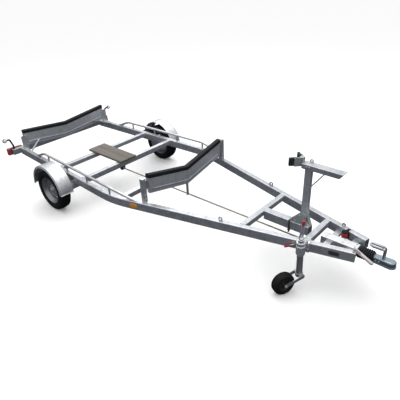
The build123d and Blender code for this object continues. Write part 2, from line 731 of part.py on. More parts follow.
# Winch post: square tube on the beam, between two gusset plates and behind a strap to the beam's front end
stand_half = STAND_W / 2
gusset_outline = ((-stand_half - GUSSET_REAR, 0), (stand_half, 0), (stand_half, GUSSET_H), (-stand_half, GUSSET_H))
strap_foot = stand_half + STRAP_REACH
strap_outline = (
    (stand_half, GUSSET_H),
    (stand_half, GUSSET_H - STRAP_H),
    (strap_foot - STRAP_REACH * STRAP_H / GUSSET_H, 0),
    (strap_foot, 0),
)
PLATE_TABLE = (
    (gusset_outline, stand_half, -GUSSET_T),
    (gusset_outline, -stand_half, GUSSET_T),
    (strap_outline, STRAP_W / 2, STRAP_W),
)
with BuildPart() as winch_post:
    add(box_tube((stand_x - stand_half, -stand_half, 0), (stand_x + stand_half, stand_half, STAND_H - ARM_WALL),
                 Axis.Z, STAND_CORNER_R))
    for outline, start_y, inward in PLATE_TABLE:
        with BuildSketch(Plane((stand_x, start_y, 0), x_dir=(1, 0, 0), z_dir=(0, -1, 0))):
            with BuildLine():
                Polyline(*outline, close=True)
            make_face()
        extrude(amount=inward)
pieces["winch_post"] = winch_post.part

# Winch arm: channel over the post's top, with an eared plate on its left edge
with BuildPart() as winch_arm:
    add(block((arm_rear_x, -arm_w / 2, STAND_H - ARM_H), (arm_front_x, arm_w / 2, STAND_H)))
    fillet(winch_arm.edges().filter_by(Axis.X).group_by(Axis.Z)[-1], ARM_CORNER_R)
    add(block((arm_rear_x, ARM_WALL - arm_w / 2, STAND_H - ARM_H),
              (arm_front_x, arm_w / 2 - ARM_WALL, STAND_H - ARM_WALL)), mode=Mode.SUBTRACT)
    ear_y = arm_w / 2 - ARM_CORNER_R
    with BuildSketch(Plane((arm_front_x, arm_w / 2, STAND_H - ARM_H), x_dir=(1, 0, 0), z_dir=(0, -1, 0))):
        with BuildLine():
            Polyline((0, 0), (0, ARM_H - ARM_WALL), (-ARM_CUT, 0), close=True)
        make_face()
    extrude(amount=arm_w, mode=Mode.SUBTRACT)
    with BuildSketch(Plane((stand_x, ear_y, STAND_H), x_dir=(1, 0, 0), z_dir=(0, -1, 0))):
        with Locations((0, EAR_UP)):
            Circle(EAR_R)
        Rectangle(2 * EAR_R, EAR_UP, align=(Align.CENTER, Align.MIN))
        with Locations((0, EAR_UP)):
            Circle(EAR_HOLE_R, mode=Mode.SUBTRACT)
        Rectangle(2 * EAR_R, EAR_R, align=(Align.CENTER, Align.MAX), mode=Mode.SUBTRACT)
    extrude(amount=ARM_WALL)
pieces["winch_arm"] = winch_arm.part

brace_x = stand_x + stand_half
brace_spare = 2 * BRACE_R
with BuildPart() as arm_brace:
    add(straight_bar((brace_x - brace_spare, 0, STAND_H - BRACE_DROP - brace_spare),
                     (brace_x + BRACE_REACH, 0, STAND_H), BRACE_R))
    split(bisect_by=Plane.YZ.offset(brace_x), keep=Keep.TOP)
    split(bisect_by=Plane.XY.offset(STAND_H - ARM_WALL), keep=Keep.BOTTOM)
pieces["arm_brace"] = arm_brace.part

# Bow stop: V of two plates on a block behind the arm, each with a rubber pad facing the bow
yoke_h = YOKE_UP + YOKE_DOWN
yoke_low = STAND_H - YOKE_DOWN
wing_way = math.radians(YOKE_ANGLE)
wing_planes = []
for name, side in SIDES:
    root = Vector(arm_rear_x - YOKE_DEPTH / 2, side * YOKE_DEPTH / 2, yoke_low)
    along = Vector(-math.cos(wing_way), side * math.sin(wing_way), 0)
    wing_planes.append((side, Plane(root, x_dir=along, z_dir=(0, 0, 1))))
with BuildPart() as bow_yoke:
    add(block((arm_rear_x - YOKE_DEPTH, -YOKE_DEPTH / 2, yoke_low), (arm_rear_x, YOKE_DEPTH / 2, yoke_low + yoke_h)))
    for side, wing in wing_planes:
        with BuildSketch(wing):
            Rectangle(YOKE_LEN, YOKE_T, align=(Align.MIN, Align.CENTER))
        extrude(amount=yoke_h)
pieces["bow_yoke"] = bow_yoke.part

with BuildPart() as bow_pads:
    for side, wing in wing_planes:
        with BuildSketch(wing.offset(PAD_MARGIN)):
            with Locations((PAD_START, side * (YOKE_T / 2 + PAD_T / 2))):
                Rectangle(PAD_LEN, PAD_T, align=(Align.MIN, Align.CENTER))
        extrude(amount=yoke_h - 2 * PAD_MARGIN)
    fillet(bow_pads.edges(), PAD_ROUND)
pieces["bow_pads"] = bow_pads.part

# Overrun housing: box open at the rear, with the brake lever under it
housing_low = -HOUSING_DROP - HOUSING_H
draw_z = -HOUSING_DROP - HOUSING_H / 2
with BuildPart() as overrun_housing:
    add(box_tube((housing_rear_x, -HOUSING_W / 2, housing_low), (housing_front_x, HOUSING_W / 2, -HOUSING_DROP),
                 Axis.X, HOUSING_CORNER_R))
    add(block((housing_rear_x, HOUSING_WALL - HOUSING_W / 2, housing_low + HOUSING_WALL),
              (housing_front_x - HOUSING_WALL, HOUSING_W / 2 - HOUSING_WALL, -HOUSING_DROP - HOUSING_WALL)),
        mode=Mode.SUBTRACT)
    with BuildSketch(Plane((housing_front_x, 0, draw_z), z_dir=(-1, 0, 0))):
        Circle(DRAW_R + SEAT_GAP)
    extrude(amount=HOUSING_WALL, mode=Mode.SUBTRACT)
    add(block((lever_x, -LEVER_W / 2, -ROD_FRONT_DROP - LEVER_W / 2), (lever_x + LEVER_T, LEVER_W / 2, housing_low)))
pieces["overrun_housing"] = overrun_housing.part

# Saddles: blocks that hold the housing between the rails
with BuildPart() as housing_saddles:
    for ahead in SADDLE_AHEADS:
        saddle_x = housing_rear_x + ahead + SADDLE_LEN / 2
        far = rail_half(saddle_x)
        for name, side in SIDES:
            with Locations((saddle_x, side * (HOUSING_W / 2 + far) / 2, draw_z)):
                Box(SADDLE_LEN, far - HOUSING_W / 2, SADDLE_T)
    for outline in rail_outlines:
        add(outline, mode=Mode.SUBTRACT)
pieces["housing_saddles"] = housing_saddles.part

# Draw tube and its bellows
head_rear_x = housing_front_x + BELLOWS_LEN
draw_front_x = head_rear_x + DRAW_GRIP
pieces["draw_tube"] = straight_bar((housing_front_x - DRAW_IN, 0, draw_z), (draw_front_x, 0, draw_z), DRAW_R)
fold_len = BELLOWS_LEN / BELLOWS_FOLDS
crests = [(housing_front_x, DRAW_R + SEAT_GAP)]
for fold_count in range(BELLOWS_FOLDS):
    fold_x = housing_front_x + fold_count * fold_len
    crests += [(fold_x, BELLOWS_ROOT_R), (fold_x + fold_len / 2, BELLOWS_R)]
crests += [(head_rear_x, BELLOWS_ROOT_R), (head_rear_x, DRAW_R + SEAT_GAP)]
with BuildPart() as bellows:
    with BuildSketch(Plane((0, 0, draw_z), x_dir=(1, 0, 0), z_dir=(0, -1, 0))):
        with BuildLine():
            Polyline(*crests, close=True)
        make_face()
    revolve(axis=Axis((0, 0, draw_z), (1, 0, 0)))
pieces["bellows"] = bellows.part

# Coupling head: cast body with a round nose and a foot flange, bored for the draw tube and hollowed for the ball
head_low = draw_z - HEAD_DOWN
head_top = draw_z + HEAD_UP
ball_x = head_rear_x + HEAD_LEN
ball_z = draw_z - BALL_DOWN
with BuildPart() as coupling_head:
    for spread, height in ((0, HEAD_UP + HEAD_DOWN), (HEAD_FLANGE, HEAD_FLANGE_H)):
        with BuildSketch(Plane.XY.offset(head_low)):
            with Locations((ball_x, 0)):
                Circle(HEAD_R + spread)
            with Locations((head_rear_x, 0)):
                Rectangle(HEAD_REAR_LEN, 2 * (HEAD_REAR_HALF + spread), align=(Align.MIN, Align.CENTER))
            make_hull()
        extrude(amount=height)
    top_edges = coupling_head.faces().sort_by(Axis.Z)[-1].edges()
    fillet(top_edges.sort_by(Axis.X)[1:], HEAD_ROUND)    # all but the rear one, over the draw tube
    with BuildSketch(Plane((head_rear_x, 0, draw_z), z_dir=(1, 0, 0))):
        Circle(DRAW_R + SEAT_GAP)
    extrude(amount=DRAW_GRIP, mode=Mode.SUBTRACT)
    with Locations((ball_x, 0, ball_z)):
        Sphere(BALL_R, mode=Mode.SUBTRACT)
    with BuildSketch(Plane((ball_x, 0, ball_z), z_dir=(0, 0, -1))):
        Circle(BALL_R)
    extrude(amount=ball_z - head_low, mode=Mode.SUBTRACT)
pieces["coupling_head"] = coupling_head.part

# Coupling handle: bent bar loop standing on the head
handle_x = ball_x - HANDLE_BACK
handle_rear_x = handle_x - HANDLE_LEN
handle_top = head_top + HANDLE_UP
handle_route = [(handle_x, -HANDLE_HALF, head_top), (handle_x, -HANDLE_HALF, handle_top),
                (handle_rear_x, -HANDLE_HALF, handle_top), (handle_rear_x, HANDLE_HALF, handle_top),
                (handle_x, HANDLE_HALF, handle_top), (handle_x, HANDLE_HALF, head_top)]
pieces["coupling_handle"] = round_bar(handle_route, HANDLE_BEND_R, HANDLE_R)

# Hand brake: flat lever on a lug on the right rail's nose
brake_x = NOSE_X - HANDBRAKE_BACK
brake_out = HANDBRAKE_T / 2 - rail_half(brake_x)
with BuildPart() as handbrake:
    with BuildSketch(Plane((brake_x, brake_out, HANDBRAKE_UP), x_dir=(1, 0, 0), z_dir=(0, -1, 0))):
        with Locations((0, 0), (HANDBRAKE_REACH, -HANDBRAKE_FALL)):
            Circle(HANDBRAKE_R)
        make_hull()
    extrude(amount=HANDBRAKE_T)
    add(block((brake_x - HANDBRAKE_R, brake_out - HANDBRAKE_T, 0), (brake_x + HANDBRAKE_R, brake_out, HANDBRAKE_UP)))
pieces["handbrake"] = handbrake.part

# Lashing lugs on both rails and a cable eye on the left one
lug_x = NOSE_X - LUG_BACK
eye_x = NOSE_X - EYE_BACK
with BuildPart() as rail_lugs:
    for name, side in SIDES:
        lug_y = side * rail_half(lug_x)
        with BuildSketch(Plane((lug_x, lug_y - LUG_T / 2, LUG_UP), x_dir=(1, 0, 0), z_dir=(0, 1, 0))):
            Circle(LUG_R)
            Rectangle(2 * LUG_R, LUG_UP, align=(Align.CENTER, Align.MIN))
            Circle(LUG_HOLE_R, mode=Mode.SUBTRACT)
        extrude(amount=LUG_T)
    with Locations(Plane((eye_x, rail_half(eye_x), EYE_R), z_dir=(0, 1, 0))):
        Torus(EYE_R, EYE_BAR_R)
    split(bisect_by=Plane.XY, keep=Keep.TOP)
pieces["rail_lugs"] = rail_lugs.part

# Side reflectors on the rails' outer faces, and the parked plug in its holder inside the left rail
reflector_x = BEND_X + REFLECTOR_AHEAD
with BuildPart() as side_reflectors:
    for name, side in SIDES:
        face_at = Vector(reflector_x, side * (rail_half(reflector_x) + rail_face), -RAIL_H / 2)
        out_way = Vector(math.sin(nose_taper), side * math.cos(nose_taper), 0)
        with BuildSketch(Plane(face_at, x_dir=(0, 0, 1), z_dir=out_way)):
            RectangleRounded(REFLECTOR_H, REFLECTOR_LEN, REFLECTOR_T)
        extrude(amount=REFLECTOR_T)
pieces["side_reflectors"] = side_reflectors.part

plug_x = NOSE_X - PLUG_BACK
plug_face = Vector(plug_x, rail_half(plug_x) - rail_face, -RAIL_H / 2)
plug_in = Vector(-math.sin(nose_taper), -math.cos(nose_taper), 0)
with BuildPart() as parked_plug:
    with BuildSketch(Plane(plug_face, x_dir=(0, 0, 1), z_dir=plug_in)):
        Rectangle(PLUG_PLATE_W, PLUG_PLATE_W)
    extrude(amount=PLUG_PLATE_T)
    plug_axis = plug_face + plug_in * (PLUG_PLATE_T + PLUG_R - PLUG_LET_IN)
    with BuildSketch(Plane(plug_axis - Vector(0, 0, PLUG_LEN / 2), z_dir=(0, 0, 1))):
        Circle(PLUG_R)
    extrude(amount=PLUG_LEN)
pieces["parked_plug"] = parked_plug.part

# Jockey wheel: its own plane has Z up the leaning tube, with zero at the clamp's middle, and X ahead of its castor
jockey_x = NOSE_X - JOCKEY_BACK
outer_face = Vector(jockey_x, -rail_half(jockey_x) - rail_face, -JOCKEY_DOWN)
clamp_out = Vector(math.sin(nose_taper), -math.cos(nose_taper), 0)
tube_at = outer_face + clamp_out * JOCKEY_OUT
lean = math.radians(JOCKEY_LEAN)
turn = math.radians(JOCKEY_TURN)
castor_ahead = Vector(math.cos(turn), math.sin(turn), 0)
tube_up = Vector(0, 0, math.cos(lean)) - castor_ahead * math.sin(lean)
jockey = Plane(tube_at, x_dir=castor_ahead * math.cos(lean) + Vector(0, 0, math.sin(lean)), z_dir=tube_up)
clamp_plane = Plane(outer_face, x_dir=(math.cos(nose_taper), math.sin(nose_taper), 0), z_dir=(0, 0, 1))
with BuildPart() as jockey_clamp:
    with BuildSketch(clamp_plane.offset(JOCKEY_DOWN - RAIL_H)):
        Rectangle(CLAMP_PLATE_LEN, CLAMP_PLATE_T, align=(Align.CENTER, Align.MAX))
    extrude(amount=RAIL_H)
    with BuildSketch(clamp_plane.offset(-CLAMP_H / 2)):
        Rectangle(CLAMP_ARM_W, JOCKEY_OUT, align=(Align.CENTER, Align.MAX))
    extrude(amount=CLAMP_H)
    with BuildSketch(jockey.offset(-CLAMP_H / 2)):
        Circle(CLAMP_R)
    extrude(amount=CLAMP_H)
    with BuildSketch(jockey.offset(-CLAMP_H)):
        Circle(JOCKEY_TUBE_R + SLIDE_FIT)
    extrude(amount=2 * CLAMP_H, mode=Mode.SUBTRACT)
pieces["jockey_clamp"] = jockey_clamp.part

# Clamp lever: bent rod from the clamp arm's rear side, with a grip that points back along the rail
lever_y = -CLAMP_PLATE_T - 2 * CLAMP_LEVER_R
lever_root_z = CLAMP_H / 2 - 1.5 * CLAMP_LEVER_R
lever_turns = (
    (-CLAMP_ARM_W / 2, lever_root_z),
    (-CLAMP_ARM_W / 2 - 5 * CLAMP_LEVER_R, lever_root_z),
    (-CLAMP_ARM_W / 2 - 9 * CLAMP_LEVER_R, -2 * CLAMP_LEVER_R),
    (-CLAMP_ARM_W / 2 - 16 * CLAMP_LEVER_R, -6 * CLAMP_LEVER_R),
)
lever_route = [clamp_plane.from_local_coords(Vector(along, lever_y, up)) for along, up in lever_turns]
grip_way = (lever_route[3] - lever_route[2]).normalized()
with BuildPart() as clamp_lever:
    add(round_bar([tuple(point) for point in lever_route], 2 * CLAMP_LEVER_R, CLAMP_LEVER_R))
    with BuildSketch(Plane(lever_route[3] - grip_way * CLAMP_LEVER_R, z_dir=grip_way)):
        Circle(CLAMP_GRIP_R)
    extrude(amount=CLAMP_GRIP_LEN)
pieces["clamp_lever"] = clamp_lever.part

# Jockey tube with the socket of the king pin, and its crank folded up on top
with BuildPart() as jockey_tube:
    with BuildSketch(jockey.offset(-JOCKEY_TUBE_DOWN)):
        Circle(JOCKEY_TUBE_R)
    extrude(amount=JOCKEY_TUBE_UP + JOCKEY_TUBE_DOWN)
    with BuildSketch(jockey.offset(-JOCKEY_TUBE_DOWN)):
        Circle(KING_PIN_R + RUN_FIT)
    extrude(amount=KING_PIN_LEN + CROWN_GAP, mode=Mode.SUBTRACT)
pieces["jockey_tube"] = jockey_tube.part

with BuildPart() as jockey_crank:
    with BuildSketch(jockey.offset(JOCKEY_TUBE_UP)):
        Circle(CRANK_CAP_R)
    extrude(amount=CRANK_CAP_H)
    with BuildSketch(jockey.offset(JOCKEY_TUBE_UP + CRANK_CAP_H)):
        Rectangle(CRANK_W, CRANK_T)
    extrude(amount=CRANK_H)
    with BuildSketch(jockey.offset(JOCKEY_TUBE_UP + CRANK_CAP_H + CRANK_H)):
        Circle(KNOB_R)
    extrude(amount=KNOB_H)
    fillet(jockey_crank.faces().sort_by(Axis.Z)[-1].edges(), KNOB_R / 2)
pieces["jockey_crank"] = jockey_crank.part

# Jockey fork: crown on the king pin, two plates trailing to the wheel's axle pin, at the height that levels the frame
fork_in = JOCKEY_W / 2 + FORK_SIDE_GAP
crown_top = -JOCKEY_TUBE_DOWN - CROWN_GAP
jockey_axle_z = JOCKEY_R - TYRE_R - WHEEL_DROP
wheel_down = (tube_at.Z - JOCKEY_TRAIL * math.sin(lean) - jockey_axle_z) / math.cos(lean)
fork_side = jockey.y_dir * -1
with BuildPart() as jockey_fork:
    with BuildSketch(jockey.offset(crown_top)):
        Circle(KING_PIN_R)
    extrude(amount=KING_PIN_LEN)
    with BuildSketch(jockey.offset(crown_top - CROWN_H)):
        Circle(CROWN_R)
        Rectangle(FORK_W, 2 * (fork_in + FORK_T))
    extrude(amount=CROWN_H)
    for name, side in SIDES:
        plate_at = jockey.from_local_coords(Vector(0, side * fork_in, 0))
        with BuildSketch(Plane(plate_at, x_dir=jockey.x_dir, z_dir=fork_side)):
            with Locations((0, crown_top - CROWN_H / 2)):
                Rectangle(FORK_W, CROWN_H)
            with Locations((-JOCKEY_TRAIL, -wheel_down)):
                Circle(FORK_HUB_R)
            make_hull()
        extrude(amount=-side * FORK_T)
    pin_at = jockey.from_local_coords(Vector(-JOCKEY_TRAIL, fork_in, -wheel_down))
    with BuildSketch(Plane(pin_at, z_dir=fork_side)):
        Circle(JOCKEY_PIN_R)
    extrude(amount=2 * fork_in)
pieces["jockey_fork"] = jockey_fork.part

# Jockey wheel: solid rubber tyre on a plain hub
jockey_hub_at = jockey.from_local_coords(Vector(-JOCKEY_TRAIL, 0, -wheel_down))
jockey_section = Plane(jockey_hub_at, x_dir=jockey.x_dir, z_dir=jockey.z_dir)
jockey_spin = Axis(jockey_hub_at, jockey.y_dir)
jockey_bore_r = JOCKEY_PIN_R + RUN_FIT
with BuildPart() as jockey_hub:
    with BuildSketch(jockey_section):
        with Locations(((JOCKEY_HUB_R + jockey_bore_r) / 2, 0)):
            Rectangle(JOCKEY_HUB_R - jockey_bore_r, JOCKEY_HUB_W)
    revolve(axis=jockey_spin)
pieces["jockey_hub"] = jockey_hub.part

seat_r = JOCKEY_HUB_R + SEAT_GAP
bead_out = JOCKEY_HUB_R + JOCKEY_BEAD
shoulder_r = JOCKEY_R - JOCKEY_SHOULDER
jockey_tread_half = JOCKEY_W / 2 - JOCKEY_SHOULDER
jockey_outline = (
    (seat_r, JOCKEY_HUB_W / 2), (seat_r, -JOCKEY_HUB_W / 2), (bead_out, -JOCKEY_W / 2), (shoulder_r, -JOCKEY_W / 2),
    (JOCKEY_R, -jockey_tread_half), (JOCKEY_R, jockey_tread_half), (shoulder_r, JOCKEY_W / 2),
    (bead_out, JOCKEY_W / 2),
)
with BuildPart() as jockey_tyre:
    with BuildSketch(jockey_section):
        with BuildLine():
            Polyline(*jockey_outline, close=True)
        make_face()
    revolve(axis=jockey_spin)
pieces["jockey_tyre"] = jockey_tyre.part

# Parked stance: the jockey wheel holds the frame level, with its floor at zero and the origin under the middle
boxes = [piece.bounding_box() for piece in pieces.values()]
middle_x = (min(box.min.X for box in boxes) + max(box.max.X for box in boxes)) / 2
stand = Location((-middle_x, 0, WHEEL_DROP + TYRE_R))

os.makedirs("parts", exist_ok=True)
for name, piece in pieces.items():
    parked = stand * piece
    parked.label = name
    export_step(parked, f"parts/{name}.step")
print(f"middle at {middle_x:.2f}, floor {WHEEL_DROP + TYRE_R} under the rails, {len(pieces)} pieces")
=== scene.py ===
import math

import bpy
from mathutils import Matrix, Vector


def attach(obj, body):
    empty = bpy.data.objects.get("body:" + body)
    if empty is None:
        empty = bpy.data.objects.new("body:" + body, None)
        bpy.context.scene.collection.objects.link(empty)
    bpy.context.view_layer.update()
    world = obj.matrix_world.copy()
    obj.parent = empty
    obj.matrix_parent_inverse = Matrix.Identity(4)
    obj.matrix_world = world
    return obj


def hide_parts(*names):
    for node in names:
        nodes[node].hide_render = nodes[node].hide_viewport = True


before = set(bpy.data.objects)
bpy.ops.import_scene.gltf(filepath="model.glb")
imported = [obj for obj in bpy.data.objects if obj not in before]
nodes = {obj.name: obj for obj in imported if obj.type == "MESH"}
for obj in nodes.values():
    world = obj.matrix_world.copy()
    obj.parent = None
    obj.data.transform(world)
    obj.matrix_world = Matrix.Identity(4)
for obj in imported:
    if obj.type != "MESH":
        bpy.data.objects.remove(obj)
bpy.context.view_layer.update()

# Rails, cross-members, light bar and centre beam: box tube welded into one frame and dipped in molten zinc.
# The zinc freezes in small crystals, with duller clouds where it cooled slowly and faint runs down the sides.


class Value:
    """One output in a finish's node tree. Sums, differences and products of it add Math nodes."""

    def __init__(self, tree, socket):
        self.tree = tree
        self.socket = socket

    def node(self, kind, settings, inputs, output=0):
        """Adds a node: its settings first, then its inputs, as numbers or as other values."""
        made = self.tree.nodes.new(kind)
        for setting, choice in settings.items():
            setattr(made, setting, choice)
        self.feed(made, inputs)
        return Value(self.tree, made.outputs[output])

    def feed(self, made, inputs):
        """Sets or links a node's inputs."""
        for key, given in inputs.items():
            if isinstance(given, Value):
                self.tree.links.new(given.socket, made.inputs[key])
            else:
                made.inputs[key].default_value = given

    def math(self, operation, first, second):
        return self.node("ShaderNodeMath", {"operation": operation}, {0: first, 1: second})

    def __add__(self, other):
        return self.math("ADD", self, other)

    def __sub__(self, other):
        return self.math("SUBTRACT", self, other)

    def __mul__(self, other):
        return self.math("MULTIPLY", self, other)

    def __rsub__(self, other):
        return self.math("SUBTRACT", other, self)

    __radd__ = __add__
    __rmul__ = __mul__

    def held(self):
        """The value kept between 0 and 1."""
        return self.node("ShaderNodeClamp", {}, {"Value": self})

    def mix(self, first, second):
        """Colour that goes from first to second as this value goes from 0 to 1."""
        return self.node("ShaderNodeMix", {"data_type": "RGBA"}, {0: self, 6: first, 7: second}, 2)

    def noise(self, scale, detail=3.0):
        """Cloudy pattern on this place."""
        return self.node("ShaderNodeTexNoise", {}, {"Vector": self, "Scale": scale, "Detail": detail})

    def stretched(self, scale):
        """This place, squeezed by three factors so that a pattern on it comes out long."""
        return self.node("ShaderNodeMapping", {}, {"Vector": self, "Scale": scale})

    def part(self, letter):
        """One coordinate of this place."""
        return self.node("ShaderNodeSeparateXYZ", {}, {"Vector": self}, letter)


def new_finish(name):
    """Empty finish: the material, its shader and the place on the piece."""
    finish = bpy.data.materials.new(name)
    finish.use_nodes = True
    tree = finish.node_tree
    place = tree.nodes.new("ShaderNodeTexCoord")
    return finish, tree.nodes["Principled BSDF"], Value(tree, place.outputs["Object"])


def dented(place, height, strength, depth):
    """Surface direction that follows a height pattern, depth in metres."""
    return place.node("ShaderNodeBump", {}, {"Strength": strength, "Distance": depth, "Height": height})


def zinc_skin(name, bright, dull, metal, crystal_scale, ribs=0.0):
    """Dipped zinc: crystals, dull clouds and runs, with upright ribs where the sheet was rolled."""
    finish, shader, place = new_finish(name)
    crystals = place.node("ShaderNodeTexVoronoi", {}, {"Vector": place, "Scale": crystal_scale}, "Color")
    crystal = crystals.node("ShaderNodeSeparateColor", {}, {"Color": crystals}, 0)
    cloud = place.noise(2.3, 5.0)
    patch = place.noise(13.0, 4.0)
    runs = place.stretched((9.0, 9.0, 1.1)).noise(4.0)
    grime = place.noise(38.0, 6.0)
    dullness = ((cloud - 0.4) * 1.3 + (patch - 0.5) * 1.5 + (crystal - 0.5) * 0.34 + (runs - 0.5) * 0.6
                + (grime - 0.5) * 0.5 + 0.12).held()
    height = crystal * 0.35 + place.noise(260.0)
    if ribs:
        height = height + place.node("ShaderNodeTexWave", {"bands_direction": "Y"},
                                     {"Vector": place, "Scale": ribs, "Distortion": 0.4}, "Fac") * 1.6
    place.feed(shader, {
        "Base Color": dullness.mix(bright, dull),
        "Roughness": dullness * 0.2 + 0.3,
        "Metallic": metal,
        "Normal": dented(place, height, 0.16, 0.0016),
    })
    return finish


def dress(finish, *names):
    """Gives CAD pieces a finish."""
    for name in names:
        for slot in nodes[name].material_slots:
            slot.material = finish


frame_zinc = zinc_skin("frame_zinc", (0.6, 0.62, 0.65, 1), (0.3, 0.32, 0.36, 1), 0.72, 46.0)
dress(frame_zinc, "left_rail", "right_rail", "light_bar", "centre_beam", "cross_member_rear",
      "cross_member_plank", "cross_member_middle", "cross_member_bow", "cross_member_nose")

# Raised guide tubes and lashing lugs: round tube bent cold and welded to the rails before the dip.
# Thinner steel cools faster, so its crystals are finer and brighter.
tube_zinc = zinc_skin("tube_zinc", (0.66, 0.68, 0.7, 1), (0.36, 0.38, 0.41, 1), 0.78, 70.0)
dress(tube_zinc, "left_raised_tube", "right_raised_tube", "rail_lugs")

# Axle tube and swing arms: rubber-sprung square tube bolted under the rails, with forged arms and back plates.
# They sit in spray from the tyres, so the zinc is dull. The bolts hold the axle's plates to the rails.
axle_zinc = zinc_skin("axle_zinc", (0.5, 0.52, 0.55, 1), (0.28, 0.29, 0.31, 1), 0.6, 40.0)
dress(axle_zinc, "axle_tube", "left_swing_arm", "right_swing_arm")

# From the chassis, with X from the tails and Z from the rails' tops, to the parked place
parked = Matrix.Translation((-2.516, 0, 0.468))
SIDES = (("left", 1), ("right", -1))
# Rails' centre lines: half distances at the tails, at the bend and at the noses, and where the last two are
TAIL_HALF, BEND_HALF, NOSE_HALF = 0.713, 0.815, 0.124
BEND_X, NOSE_X = 2.245, 4.826
RAIL_HALF_W = 0.03


def rail_half(x):
    """Half distance between the rails' centre lines at x, in metres."""
    if x < BEND_X:
        return TAIL_HALF + (BEND_HALF - TAIL_HALF) * x / BEND_X
    return BEND_HALF - (BEND_HALF - NOSE_HALF) * (x - BEND_X) / (NOSE_X - BEND_X)


def alone(piece):
    """Leaves only this piece selected."""
    bpy.ops.object.select_all(action="DESELECT")
    piece.select_set(True)
    bpy.context.view_layer.objects.active = piece
    return piece


def named(piece, name):
    piece.name = name
    piece.data.name = name
    return piece


def settled(piece, place):
    """Moves a piece to a place and writes the place into its mesh."""
    alone(piece)
    piece.matrix_world = place
    bpy.ops.object.transform_apply(location=True, rotation=True, scale=True)
    return piece


def joined(name, parts):
    """Several meshes made one piece."""
    bpy.ops.object.select_all(action="DESELECT")
    for part in parts:
        part.select_set(True)
    bpy.context.view_layer.objects.active = parts[0]
    if len(parts) > 1:
        bpy.ops.object.join()
    return named(parts[0], name)


def kept(piece, finish, body):
    """Finishes a piece that was modelled on the chassis, parks it and lets it ride on its body."""
    settled(piece, parked)
    bpy.ops.object.shade_smooth_by_angle(angle=math.radians(32))
    piece.data.materials.clear()
    piece.data.materials.append(finish)
    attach(piece, body)
    return piece


def choose(piece, kind, test):
    """Selects vertices, edges or faces by a test on their middle and direction, and stays in edit mode."""
    alone(piece)
    bpy.ops.object.mode_set(mode="EDIT")
    bpy.ops.mesh.select_mode(type=kind)
    bpy.ops.mesh.select_all(action="DESELECT")
    bpy.ops.object.mode_set(mode="OBJECT")
    mesh = piece.data
    if kind == "VERT":
        for corner in mesh.vertices:
            corner.select = test(corner.co, None)
    elif kind == "EDGE":
        for edge in mesh.edges:
            start, end = (mesh.vertices[i].co for i in edge.vertices)
            edge.select = test((start + end) / 2, (end - start).normalized())
    else:
        for face in mesh.polygons:
            face.select = test(face.center, face.normal)
    bpy.ops.object.mode_set(mode="EDIT")


def done():
    bpy.ops.object.mode_set(mode="OBJECT")


def disc(radius, depth, corners, chamfer):
    """Short round or six-sided block on the floor of its own place, with its upper edge chamfered."""
    bpy.ops.object.select_all(action="DESELECT")
    bpy.ops.mesh.primitive_cylinder_add(vertices=corners, radius=radius, depth=depth, location=(0, 0, depth / 2))
    block = bpy.context.object
    bpy.ops.object.transform_apply(location=True)
    choose(block, "EDGE", lambda at, way: at.z > depth * 0.99)
    bpy.ops.mesh.bevel(offset=chamfer, segments=2, affect="EDGES")
    done()
    return block


def bolts(name, size, places, finish, body="chassis"):
    """Hexagon heads on washers: places are (point, outward way) on the chassis."""
    heads = []
    for at, way in places:
        washer = disc(size * 1.25, size * 0.22, 20, size * 0.08)
        head = disc(size, size * 0.9, 6, size * 0.16)
        bolt = joined(name, [head, washer])
        turn = Vector((0, 0, 1)).rotation_difference(Vector(way)).to_matrix().to_4x4()
        heads.append(settled(bolt, Matrix.Translation(at) @ turn))
    return kept(joined(name, heads), finish, body)


def plated(name, colour, rough, stain, metal=0.85):
    """Bright zinc plating: a thin even coat with a faint stain and fine specks."""
    finish, shader, place = new_finish(name)
    patch = place.noise(9.0, 5.0)
    speck = place.noise(140.0, 4.0)
    shade = ((patch - 0.4) * 1.4 + (speck - 0.5) * 0.5).held()
    place.feed(shader, {
        "Base Color": shade.mix(colour, stain),
        "Roughness": shade * 0.2 + rough,
        "Metallic": metal,
        "Normal": dented(place, speck + patch, 0.12, 0.0008),
    })
    return finish


bolt_zinc = plated("bolt_zinc", (0.74, 0.75, 0.74, 1), 0.26, (0.52, 0.52, 0.5, 1))
AXLE_X, AXLE_PLATE_Z = 1.4, -0.108
axle_bolts = []
for side_name, side in SIDES:
    for ahead in (-0.075, 0.075):
        for out in (-0.018, 0.018):
            axle_bolts.append(((AXLE_X + ahead, side * (rail_half(AXLE_X) + out), AXLE_PLATE_Z), (0, 0, -1)))
bolts("axle_bolts", 0.009, axle_bolts, bolt_zinc)

# Road wheels: pressed steel discs welded into rolled rims, painted silver, with a cast brake drum behind.
# Four bolts hold each wheel to its hub, and a pressed cap keeps water out of the bearing.
WHEEL_AT = (1.195, 0.967294, -0.194)


def drawn(name, points):
    """Line of edges through points, drawn by extruding one vertex."""
    bpy.ops.object.select_all(action="DESELECT")
    bpy.ops.mesh.primitive_plane_add(size=0.01, location=points[0])
    line = named(bpy.context.object, name)
    bpy.ops.object.transform_apply(location=True)
    bpy.ops.object.mode_set(mode="EDIT")
    bpy.ops.mesh.select_mode(type="VERT")
    bpy.ops.mesh.select_all(action="SELECT")
    bpy.ops.mesh.merge(type="CENTER")
    for start, end in zip(points, points[1:]):
        bpy.ops.mesh.extrude_vertices_move(TRANSFORM_OT_translate={"value": end - start})
    return line


